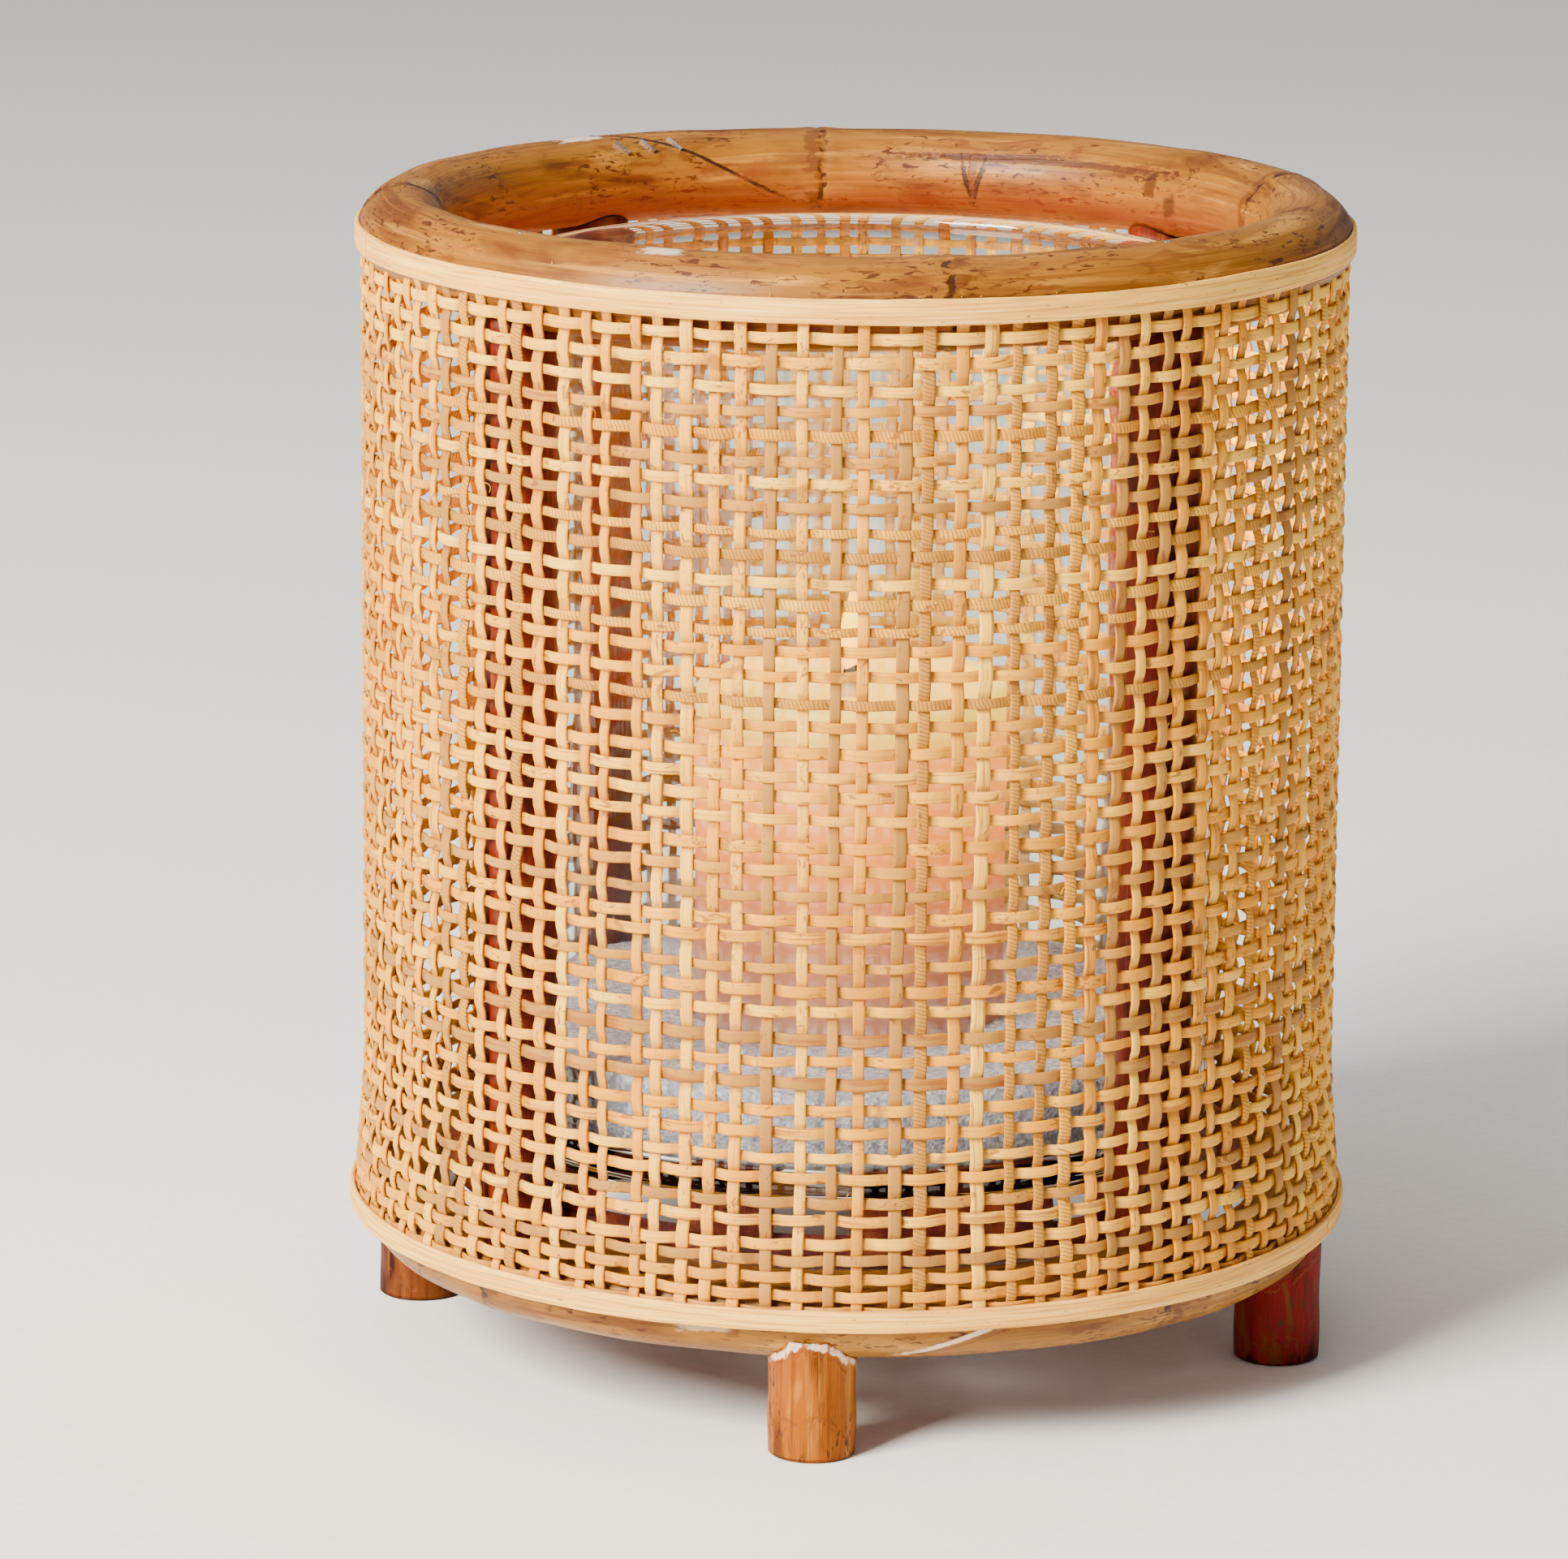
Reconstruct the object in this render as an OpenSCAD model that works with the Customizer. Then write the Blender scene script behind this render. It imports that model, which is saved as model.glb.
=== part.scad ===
// Woven cane candle lantern: a basket-like frame of bent rattan poles and plain-woven cane,
// with a lift-out glass cylinder, a bed of sand and a pillar candle inside.
// Millimetres, +Z up. The origin is on the ground under the lantern's middle.
// Turns are degrees from the front (-Y), positive towards +X.

/* [Overall] */
// Height of the top hoop's crown above the ground
total_h = 283; // [220:1:400]
// Outside diameter of the woven wall
wall_d = 238; // [230:1:320]
// How much wider the woven wall is at the bottom hoop
wall_flare = 4; // [0:0.5:12]
// Height above the bottom binding over which the wall flares out
flare_h = 34; // [10:1:60]
// Thickness of the weave, two crossing strands
wall_t = 2; // [1.4:0.1:3]

/* [Hoops] */
// Diameter of the pole bent into the top hoop
top_pole_d = 22; // [16:0.5:25]
// Diameter of the pole bent into the bottom hoop
bottom_pole_d = 20.6; // [16:0.2:25]
// Height of the bottom hoop's centre above the ground
bottom_hoop_z = 33.7; // [28:0.1:60]
// Turn of the top hoop's glued scarf joint
top_scarf_turn = 203; // [0:1:360]
// Turn of the bottom hoop's glued scarf joint
bottom_scarf_turn = 17; // [0:1:360]

/* [Bindings] */
// Thickness of the split cane binding strips
binding_t = 1.2; // [0.8:0.1:2]
// Height of the top binding strip
top_binding_h = 6; // [4:0.2:9]
// Middle of the top strip above the top hoop's centre
top_binding_rise = 0.5; // [-3:0.1:3]
// Height of the bottom binding strip
bottom_binding_h = 5.3; // [4:0.1:9]
// Middle of the bottom strip above the bottom hoop's centre
bottom_binding_rise = 1.7; // [-3:0.1:3]
// Gap where the ends of a strip meet
butt_gap = 0.6; // [0.2:0.1:2]
// Turn of the top strip's butt joint
top_butt_turn = -75; // [-180:1:180]
// Turn of the bottom strip's butt joint
bottom_butt_turn = 73; // [-180:1:180]
// How far the weave ends short of a strip's outer edge
edge_cover = 0.8; // [0.4:0.1:2]

/* [Posts and feet] */
// Diameter of the upright posts
post_d = 18; // [14:0.5:20]
// Turns of the posts: front right, back right, back left, front left
post_turns = [42, 134, 218, 314]; // [0:1:360]
// Diameter of the feet
foot_d = 20.7; // [14:0.1:24]
// Turns of the feet: front, right, back, left
foot_turns = [356, 76, 172, 258]; // [0:1:360]
// How far a post's saddle-cut end reaches along the side of its hoop
post_saddle = 4; // [2:0.5:5]
// How far a foot's saddle-cut end reaches up the side of the bottom hoop
foot_saddle = 6; // [2:0.5:7]

/* [Base] */
// Height of the slats' upper face, where the glass stands
base_z = 53.7; // [50:0.1:90]
// Diameter of the thin pole bent into the base ring
ring_d = 8; // [6:0.5:12]
// Depth of the notches that seat the ring in the posts and the slats on the ring
seat = 0.5; // [0.3:0.1:1]
// Width of each base slat
slat_w = 22.8; // [16:0.2:24]
// Thickness of each base slat
slat_t = 5.5; // [4:0.5:8]
// Bevel along a slat's edges
slat_bevel = 0.9; // [0.4:0.1:1.5]
// Places of the slats' middles, left to right
slat_places = [-69, -28.4, 12.2, 37.6, 69]; // [-75:0.1:75]

/* [Fastenings] */
// Diameter of the nails in the posts and feet
nail_d = 2; // [1.4:0.2:3]
// How far those nails reach past the hoop
nail_bite = 16; // [10:1:20]
// Diameter of the brads in the base
brad_d = 1.6; // [1.2:0.1:2]
// How far a ring brad reaches into its post
brad_bite = 7; // [4:0.5:10]
// How far the outer slats' brads stand outwards of the slats' middle
brad_shift = 5; // [4:0.5:8]
// Diameter of the binding pins
pin_d = 1.2; // [0.8:0.1:1.6]
// Length of the binding pins
pin_len = 8; // [6:0.5:9]
// Number of pins in each binding strip
pin_count = 12; // [8:1:24]
// Width of a staple's crown
staple_w = 4.7; // [4:0.5:8]
// Turn between neighbouring staples
staple_step = 4.4; // [3:0.2:8]
// Angle of a staple's crown off the run of the pole
staple_slant = 120; // [0:5:180]
// Lean of the staples from a hoop's crown towards its inside
staple_lean = 38; // [0:1:60]
// Depth of a staple's legs
staple_leg = 5; // [3:0.5:7]
// Thickness of the staple wire
staple_t = 0.8; // [0.6:0.1:1]

/* [Glass] */
// Outside diameter of the glass cylinder
glass_d = 180; // [120:1:182]
// Height of the glass cylinder
glass_h = 210; // [120:1:260]
// Thickness of the glass wall
glass_t = 4; // [3:0.5:6]
// Thickness of the glass bottom
glass_floor = 7; // [5:0.5:12]
// Radius of the rounded bead at the rim
rim_r = 2.4; // [2:0.1:4]
// Radius of the rounded edge under the glass
heel_r = 4; // [2:0.5:5]

/* [Candle] */
// Diameter of the pillar candle
candle_d = 76; // [50:1:100]
// Height of the pillar candle
candle_h = 102; // [50:1:150]
// Width of the rim around the melt pool
pool_rim = 5; // [3:0.5:10]
// Depth of the melt pool
pool_depth = 4; // [2:0.5:8]
// Diameter of the wick
wick_d = 2.4; // [1.6:0.2:4]
// Height of the wick above the melt pool
wick_rise = 10; // [6:0.5:14]
// Depth of the sand in the glass
sand_h = 20.3; // [5:0.1:60]
// Clearance between the sand and the candle
sand_gap = 0.4; // [0.3:0.1:2]

/* [Hidden] */
$fn = 96;
slack = 1; // how far cutting tools run past a face

// hoops and wall
top_hoop_z = total_h - top_pole_d / 2;
top_hoop_r = wall_d / 2 - wall_t - top_pole_d / 2;
low_wall_r = (wall_d + wall_flare) / 2;
bottom_hoop_r = low_wall_r - wall_t - bottom_pole_d / 2;
top_binding_z = top_hoop_z + top_binding_rise;
bottom_binding_z = bottom_hoop_z + bottom_binding_rise;
wall_top_z = top_binding_z + top_binding_h / 2 - edge_cover;
wall_bottom_z = bottom_binding_z - bottom_binding_h / 2 + edge_cover;
flare_low_z = bottom_binding_z + bottom_binding_h / 2;
flare_high_z = flare_low_z + flare_h;

// posts, feet and base
post_r = (top_hoop_r + bottom_hoop_r) / 2;
ring_r = post_r - post_d / 2 - ring_d / 2 + seat;
slat_low_z = base_z - slat_t;
ring_z = slat_low_z - ring_d / 2 + seat;
slat_end_r = ring_r + ring_d / 2 - 2 * seat; // clear of the posts

// fastenings
top_staple_turns = [for (i = [1:3]) top_scarf_turn + i * staple_step];
bottom_staple_turns = [for (i = [1:2]) bottom_scarf_turn + i * staple_step];
pin_step = 360 / pin_count;
slat_brad_bite = ring_d / 2 - brad_d; // ends above the ring's own brads

// glass and candle
glass_r = glass_d / 2;
glass_bore = glass_r - glass_t;
floor_z = base_z + glass_floor;
pool_z = candle_h - pool_depth;
pool_r = candle_d / 2 - pool_rim;
candle_edge = 1.5; // bevel of the candle's rim

rattan = "burlywood";
dark_rattan = "saddlebrown";
pale_cane = "wheat";
steel = "silver";

// Places its children at a turn and a distance from the lantern's axis.
module at_turn(turn, r, z = 0) {
    rotate([0, 0, turn]) translate([0, -r, z]) children();
}

// A pole bent into a full circle, its ends scarfed and glued.
module bent_pole(r, d, z) {
    translate([0, 0, z]) rotate_extrude() translate([r, 0]) circle(d = d);
}

// A staple driven into a hoop across its scarf joint, its crown flush at the ends.
module staple(turn, r, d, z) {
    at_turn(turn, r, z) rotate([-staple_lean, 0, 0])
        translate([0, 0, d / 2]) rotate([0, 0, staple_slant]) {
            cube([staple_w, staple_t, staple_t], center = true);
            for (side = [-1, 1])
                translate([side * (staple_w - staple_t) / 2, 0, -staple_leg / 2])
                    cube([staple_t, staple_t, staple_leg], center = true);
        }
}

module staples(turns, r, d, z) {
    for (turn = turns) staple(turn, r, d, z);
}

// Radial pins driven through a binding strip and the weave into the hoop, with no drilled holes.
module radial_pins(r, z, first_turn) {
    for (i = [0:pin_count - 1])
        at_turn(first_turn + (i + 0.5) * pin_step, r, z)
            rotate([-90, 0, 0]) cylinder(d = pin_d, h = pin_len);
}

// A flat strip bent round the outside of the wall, with a butt joint.
module binding_strip(r, h, z, butt_turn) {
    bevel = binding_t / 3;
    difference() {
        translate([0, 0, z]) rotate_extrude() translate([r, 0])
            polygon([[0, -h / 2], [binding_t - bevel, -h / 2], [binding_t, bevel - h / 2],
                [binding_t, h / 2 - bevel], [binding_t - bevel, h / 2], [0, h / 2]]);
        at_turn(butt_turn, r, z) cube([butt_gap, 4 * binding_t, h + 2 * slack], center = true);
    }
}

// The nails and brads, also used to cut their holes.
module upright_nail(turn, low_z, high_z) {
    at_turn(turn, post_r, low_z) cylinder(d = nail_d, h = high_z - low_z);
}

module post_nail_set() {
    for (turn = post_turns) {
        upright_nail(turn, top_hoop_z - top_pole_d / 2 - nail_bite, total_h);
        upright_nail(turn, bottom_hoop_z - bottom_pole_d / 2,
            bottom_hoop_z + bottom_pole_d / 2 + nail_bite);
    }
}

module foot_nail_set() {
    for (turn = foot_turns)
        upright_nail(turn, bottom_hoop_z - bottom_pole_d / 2 - nail_bite,
            bottom_hoop_z + bottom_pole_d / 2);
}

module ring_brad_set() {
    for (turn = post_turns)
        at_turn(turn, ring_r - ring_d / 2, ring_z)
            rotate([90, 0, 0]) cylinder(d = brad_d, h = ring_d + brad_bite);
}

module slat_brad_set() {
    for (i = [0:len(slat_places) - 1], side = [-1, 1]) {
        outward = i == 0 ? -1 : i == len(slat_places) - 1 ? 1 : 0;
        x = slat_places[i] + outward * brad_shift;
        translate([x, side * sqrt(pow(ring_r, 2) - pow(x, 2)), slat_low_z - slat_brad_bite + seat])
            cylinder(d = brad_d, h = slat_t + slat_brad_bite - seat);
    }
}

// A post between the hoops, its ends cut to saddle them.
module post(turn) {
    low = bottom_hoop_z + bottom_pole_d / 2 - post_saddle;
    high = top_hoop_z - top_pole_d / 2 + post_saddle;
    color(dark_rattan) difference() {
        at_turn(turn, post_r, low) cylinder(d = post_d, h = high - low);
        bent_pole(top_hoop_r, top_pole_d, top_hoop_z);
        bent_pole(bottom_hoop_r, bottom_pole_d, bottom_hoop_z);
        bent_pole(ring_r, ring_d, ring_z);
        post_nail_set();
        ring_brad_set();
    }
}

// A foot under the bottom hoop, its top cut to saddle it.
module foot(turn) {
    high = bottom_hoop_z - bottom_pole_d / 2 + foot_saddle;
    color(dark_rattan) difference() {
        at_turn(turn, bottom_hoop_r) cylinder(d = foot_d, h = high);
        bent_pole(bottom_hoop_r, bottom_pole_d, bottom_hoop_z);
        foot_nail_set();
    }
}

// A straight length of slat, long enough to pass the ring at both ends.
module slat_blank(x) {
    half = slat_w / 2;
    translate([x, slat_end_r + slack, slat_low_z]) rotate([90, 0, 0])
        linear_extrude(height = 2 * (slat_end_r + slack))
            polygon([[-half, 0], [half, 0], [half, slat_t - slat_bevel],
                [half - slat_bevel, slat_t], [slat_bevel - half, slat_t],
                [-half, slat_t - slat_bevel]]);
}

// A base slat across the ring, its ends cut to the ring's curve.
module slat(x) {
    color(dark_rattan) difference() {
        intersection() {
            slat_blank(x);
            translate([0, 0, slat_low_z - slack])
                cylinder(r = slat_end_r, h = slat_t + 2 * slack);
        }
        slat_brad_set();
    }
}

module top_hoop() {
    color(rattan) difference() {
        bent_pole(top_hoop_r, top_pole_d, top_hoop_z);
        staples(top_staple_turns, top_hoop_r, top_pole_d, top_hoop_z);
        post_nail_set();
    }
}

module top_hoop_staples() {
    color(steel) staples(top_staple_turns, top_hoop_r, top_pole_d, top_hoop_z);
}

module top_binding() {
    color(pale_cane)
        binding_strip(wall_d / 2, top_binding_h, top_binding_z, top_butt_turn);
}

module top_binding_pins() {
    color(steel) radial_pins(wall_d / 2 + binding_t, top_binding_z, top_butt_turn);
}

// The woven cane as one wall with the weave's outer shape and thickness.
module woven_wall() {
    outer = [[wall_d / 2, wall_top_z], [wall_d / 2, flare_high_z],
        [low_wall_r, flare_low_z], [low_wall_r, wall_bottom_z]];
    inner = [for (i = [3:-1:0]) outer[i] - [wall_t, 0]];
    color(pale_cane) rotate_extrude() polygon(concat(outer, inner));
}

module bottom_hoop() {
    color(rattan) difference() {
        bent_pole(bottom_hoop_r, bottom_pole_d, bottom_hoop_z);
        staples(bottom_staple_turns, bottom_hoop_r, bottom_pole_d, bottom_hoop_z);
        post_nail_set();
        foot_nail_set();
        ring_brad_set(); // where a thick hoop reaches up to the brads
    }
}

module bottom_hoop_staples() {
    color(steel) staples(bottom_staple_turns, bottom_hoop_r, bottom_pole_d, bottom_hoop_z);
}

module bottom_binding() {
    color(pale_cane)
        binding_strip(low_wall_r, bottom_binding_h, bottom_binding_z, bottom_butt_turn);
}

module bottom_binding_pins() {
    color(steel) radial_pins(low_wall_r + binding_t, bottom_binding_z, bottom_butt_turn);
}

module post_nails() {
    color(steel) post_nail_set();
}

module foot_nails() {
    color(steel) foot_nail_set();
}

// A thin pole bent into a ring inside the posts, with a flat for each slat end.
module base_ring() {
    color(dark_rattan) difference() {
        bent_pole(ring_r, ring_d, ring_z);
        for (x = slat_places) slat_blank(x);
        slat_brad_set();
    }
}

module base_ring_brads() {
    color(steel) ring_brad_set();
}

module slat_brads() {
    color(steel) slat_brad_set();
}

// A straight glass vase with a rounded heel and a rounded rim.
module glass_cylinder() {
    color("lightcyan", 0.35) translate([0, 0, base_z]) rotate_extrude() difference() {
        union() {
            square([glass_r - heel_r, glass_floor]);
            translate([glass_r - heel_r, heel_r]) circle(r = heel_r);
            translate([0, heel_r]) square([glass_r, glass_h - rim_r - heel_r]);
            translate([glass_r - rim_r, glass_h - rim_r]) circle(r = rim_r);
        }
        translate([-heel_r, glass_floor])
            square([glass_bore + heel_r, glass_h - glass_floor - 2 * rim_r]);
        translate([-heel_r, glass_h - 2 * rim_r - slack])
            square([glass_r - 2 * rim_r + heel_r, 2 * rim_r + 2 * slack]);
    }
}

// Sand heaped level round the foot of the candle.
module sand_bed() {
    color("lightsteelblue") translate([0, 0, floor_z]) difference() {
        cylinder(r = glass_bore, h = sand_h);
        translate([0, 0, -slack])
            cylinder(r = candle_d / 2 + sand_gap, h = sand_h + 2 * slack);
    }
}

module wick_shape() {
    bend = 0.55; // share of the free wick that stands straight
    straight = pool_z + bend * wick_rise;
    cylinder(d = wick_d, h = straight);
    translate([0, 0, straight]) {
        sphere(d = wick_d);
        rotate([0, 35, 0]) cylinder(d = wick_d, h = (1 - bend) * wick_rise);
    }
}

module candle() {
    r = candle_d / 2;
    color("moccasin") translate([0, 0, floor_z]) difference() {
        rotate_extrude() polygon([[0, 0], [r, 0], [r, candle_h - candle_edge],
            [r - candle_edge, candle_h], [pool_r + candle_edge, candle_h],
            [pool_r - candle_edge, pool_z + candle_edge / 2], [pool_r - 2 * candle_edge, pool_z],
            [0, pool_z]]);
        wick_shape();
    }
}

module wick() {
    color("dimgray") translate([0, 0, floor_z]) wick_shape();
}

top_hoop();
top_hoop_staples();
top_binding();
top_binding_pins();
woven_wall();
bottom_hoop();
bottom_hoop_staples();
bottom_binding();
bottom_binding_pins();
post(post_turns[0]);  // post_front_right
post(post_turns[1]);  // post_back_right
post(post_turns[2]);  // post_back_left
post(post_turns[3]);  // post_front_left
post_nails();
foot(foot_turns[0]);  // foot_front
foot(foot_turns[1]);  // foot_right
foot(foot_turns[2]);  // foot_back
foot(foot_turns[3]);  // foot_left
foot_nails();
base_ring();
base_ring_brads();
slat(slat_places[0]);  // slat_1
slat(slat_places[1]);  // slat_2
slat(slat_places[2]);  // slat_3
slat(slat_places[3]);  // slat_4
slat(slat_places[4]);  // slat_5
slat_brads();
glass_cylinder();
sand_bed();
candle();
wick();
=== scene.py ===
"""Candle lantern of bent rattan poles and plain-woven cane, built round its CAD frame.

Metres, +Z up. Turns are degrees from the front (-Y), positive towards +X. A tube angle is degrees
round a bent pole's section: 0 on the outside of the hoop, 90 on its crown and 180 on its inside.
"""

import math

import bmesh
import bpy
import numpy as np
from mathutils import Matrix, Vector


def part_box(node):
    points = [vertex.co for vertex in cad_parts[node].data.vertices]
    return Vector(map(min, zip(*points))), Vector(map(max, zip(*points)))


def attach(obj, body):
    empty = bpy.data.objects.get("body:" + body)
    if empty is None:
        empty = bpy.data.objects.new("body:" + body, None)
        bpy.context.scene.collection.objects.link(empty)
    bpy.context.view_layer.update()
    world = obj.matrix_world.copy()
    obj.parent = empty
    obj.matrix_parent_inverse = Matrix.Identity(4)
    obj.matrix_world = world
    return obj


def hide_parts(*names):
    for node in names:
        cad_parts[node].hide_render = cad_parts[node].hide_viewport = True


bl_info = {
    "name": "Woven Cane Candle Lantern",
    "version": (1, 0, 0),
    "blender": (4, 5, 0),
    "location": "View3D > Sidebar > Lantern",
    "description": "Builds a candle lantern of bent rattan and woven cane round its CAD frame",
    "category": "Add Mesh",
}

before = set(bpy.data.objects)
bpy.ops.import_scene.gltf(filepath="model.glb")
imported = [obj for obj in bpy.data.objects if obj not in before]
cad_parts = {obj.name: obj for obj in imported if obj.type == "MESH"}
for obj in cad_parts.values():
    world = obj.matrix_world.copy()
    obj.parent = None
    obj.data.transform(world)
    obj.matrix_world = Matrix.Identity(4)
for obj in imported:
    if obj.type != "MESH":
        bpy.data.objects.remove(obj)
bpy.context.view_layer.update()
MM = 0.001
SEED = 20
SECTION = 0.1  # radius of a template's section, before it is shaped


def linear(code, alpha=1.0):
    """An sRGB hex colour as linear red, green and blue, with alpha."""
    parts = [int(code[i:i + 2], 16) / 255 for i in (1, 3, 5)]
    return (*[p / 12.92 if p <= 0.04045 else ((p + 0.055) / 1.055) ** 2.4 for p in parts], alpha)


def hoop_size(node):
    """Centre radius, pole radius and centre height of a pole bent into a hoop."""
    low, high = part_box(node)
    pole = (high.z - low.z) / 2
    return high.x - pole, pole, (low.z + high.z) / 2


TOP_R, TOP_POLE, TOP_Z = hoop_size("top_hoop")
LOW_R, LOW_POLE, LOW_Z = hoop_size("bottom_hoop")
TOP_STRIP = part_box("top_binding")
LOW_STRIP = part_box("bottom_binding")
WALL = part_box("woven_wall")
WALL_T = 2 * MM
UPPER_WALL_R = TOP_R + TOP_POLE + WALL_T / 2
LOWER_WALL_R = LOW_R + LOW_POLE + WALL_T / 2
FLARE_H = 34 * MM
TOP_BUTT_TURN = -75
LOW_BUTT_TURN = 73
BUTT_GAP = 0.6 * MM
TOP_SCARF = (204.8, 145)  # turn and tube angle of a point on the top hoop's scarf line
TOP_SCARF_RUN = -0.222  # turn gained per degree of tube angle along it
LOW_SCARF = (14, -20)
LOW_SCARF_RUN = 0.25
POST_POLE = 9 * MM
POST_SADDLE, FOOT_SADDLE = 4 * MM, 6 * MM  # how far down its hoop's side a saddle reaches
POSTS = {"front_right": 42, "back_right": 134, "back_left": 218, "front_left": 314}
FEET = {"front": 356, "right": 76, "back": 172, "left": 258}


def length(name, description, size, low, high):
    """A length that can be changed, with its limits, all in millimetres."""
    return bpy.props.FloatProperty(name=name, description=description, default=size * MM,
                                   min=low * MM, max=high * MM, unit="LENGTH")


def colour(name, description, code):
    """A colour that can be changed, from its hex code."""
    return bpy.props.FloatVectorProperty(name=name, description=description, subtype="COLOR",
                                         size=4, min=0, max=1, default=linear(code))


class LanternSizes(bpy.types.PropertyGroup):
    """Sizes that change the lantern's look without moving its frame."""

    uprights: bpy.props.IntProperty(
        name="Uprights", description="Upright strands round the wall, an even number",
        default=112, min=60, max=160)
    row_pitch: length("Row pitch", "Height from one woven row to the next", 5.62, 4, 10)
    upright_width: length("Upright width", "Width of an upright strand", 2.95, 2, 6)
    row_width: length("Row width", "Width of a strand in a row", 2.65, 2, 6)
    strand_thickness: length("Strand thickness", "Thickness of a strand of cane", 0.85, 0.5, 1)
    fibres: bpy.props.IntProperty(
        name="Loose fibres", description="Curled fibres that stand off the cane",
        default=150, min=0, max=400)
    flame_height: length("Flame height", "Height of the flame", 24, 5, 30)


class LanternColours(bpy.types.PropertyGroup):
    """Colours of the lantern's finishes."""

    honey_cane: colour("Honey cane", "Darkest plain strands of the weave", "#A2640A")
    straw_cane: colour("Straw cane", "Most strands of the weave", "#E69A12")
    pale_cane: colour("Pale cane", "Palest strands of the weave", "#FAC244")
    strip_cane: colour("Binding cane", "Split cane binding strips", "#FBC254")
    pole_rattan: colour("Pole rattan", "Varnished rattan of the hoops", "#8E5A12")
    dark_rattan: colour("Dark rattan", "Stained rattan of the posts and base", "#6A1A08")
    sand: colour("Sand", "Sand in the bottom of the glass", "#ABA6B8")
    wax: colour("Wax", "Wax of the pillar candle", "#EEB068")


# ---------------------------------------------------------------- helpers for shapes

def linked(name, data):
    """A new object in the scene that shows a mesh, a light or a camera."""
    thing = bpy.data.objects.new(name, data)
    bpy.context.scene.collection.objects.link(thing)
    return thing


def meshed(bm, name):
    """A smooth mesh from a bmesh, its faces turned outwards."""
    bmesh.ops.recalc_face_normals(bm, faces=bm.faces)
    mesh = bpy.data.meshes.new(name)
    bm.to_mesh(mesh)
    bm.free()
    mesh.shade_smooth()
    return mesh


def finished(bm, name):
    """A mesh object made from a bmesh, with no doubled points."""
    bmesh.ops.remove_doubles(bm, verts=bm.verts, dist=1e-7)
    return linked(name, meshed(bm, name))


def points(mesh):
    """A mesh's points as an array of rows x, y, z."""
    values = np.zeros(len(mesh.vertices) * 3)
    mesh.vertices.foreach_get("co", values)
    return values.reshape(-1, 3)


def move_points(mesh, values):
    """Puts a mesh's points at these rows x, y, z."""
    mesh.vertices.foreach_set("co", np.ascontiguousarray(values, np.float32).ravel())
    mesh.update()


def corner_points(mesh):
    """Which point each face corner stands on, and which face it belongs to."""
    corners = np.zeros(len(mesh.loops), np.int32)
    mesh.loops.foreach_get("vertex_index", corners)
    counts = np.zeros(len(mesh.polygons), np.int32)
    mesh.polygons.foreach_get("loop_total", counts)
    return corners, np.repeat(np.arange(len(counts)), counts)


def write_vectors(mesh, name, values, domain="CORNER"):
    """Stores three numbers for each corner or point of a mesh under a name."""
    attribute = mesh.attributes.new(name, "FLOAT_VECTOR", domain)
    attribute.data.foreach_set("vector", np.ascontiguousarray(values, np.float32).ravel())


def write_map(mesh, name, values):
    """Stores a UV map from two numbers for each corner."""
    layer = mesh.uv_layers.new(name=name)
    layer.data.foreach_set("uv", np.ascontiguousarray(values, np.float32).ravel())


def turn_apart(turns, other):
    """Degrees from another turn to these, from -180 to 180."""
    return (turns - other + 180) % 360 - 180


def unrolled(turns, corners, faces, start):
    """Each corner's turn from a start turn, 0 to 360, with no face left split by the start."""
    here = turns[corners]
    middle = np.zeros(faces.max() + 1)
    first = np.concatenate([[0], np.flatnonzero(np.diff(faces)) + 1])
    base = here[first]
    apart = turn_apart(here, base[faces])
    np.add.at(middle, faces, apart)
    middle = base + middle / np.bincount(faces)
    start_here = start[corners][first] if isinstance(start, np.ndarray) else start
    opened = (middle - start_here) % 360 + start_here
    return opened[faces] + turn_apart(here, middle[faces])


def waves(values, seed, size, count=4, slowest=1):
    """A smooth random curve over angles in radians, made of whole waves, of about this size."""
    rng = np.random.default_rng(seed)
    total = np.zeros_like(values)
    for k in range(slowest, slowest + count):
        total += rng.normal() * np.sin(k * values + rng.uniform(0, 2 * math.pi)) / (k - slowest + 1)
    return size * total / 1.2


def bump(values, centre, width):
    """A smooth hump of height 1 round a centre."""
    return np.exp(-((values - centre) / width) ** 2)


def arc(centre, radius, start, end, steps):
    """Points along an arc in a profile, from one angle to another in degrees."""
    angles = np.radians(np.linspace(start, end, steps + 1))
    return [(centre[0] + radius * math.cos(a), centre[1] + radius * math.sin(a)) for a in angles]


def lathed(name, profile, steps):
    """A closed turned shape from a profile of radius and height that starts and ends on the axis."""
    bm = bmesh.new()
    verts = [bm.verts.new((r, 0, z)) for r, z in profile]
    edges = [bm.edges.new(pair) for pair in zip(verts, verts[1:])]
    bmesh.ops.spin(bm, geom=verts + edges, cent=(0, 0, 0), axis=(0, 0, 1), dvec=(0, 0, 0),
                   angle=2 * math.pi, steps=steps, use_merge=True, use_duplicate=False)
    bmesh.ops.remove_doubles(bm, verts=bm.verts, dist=1e-6)
    return finished(bm, name)


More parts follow.
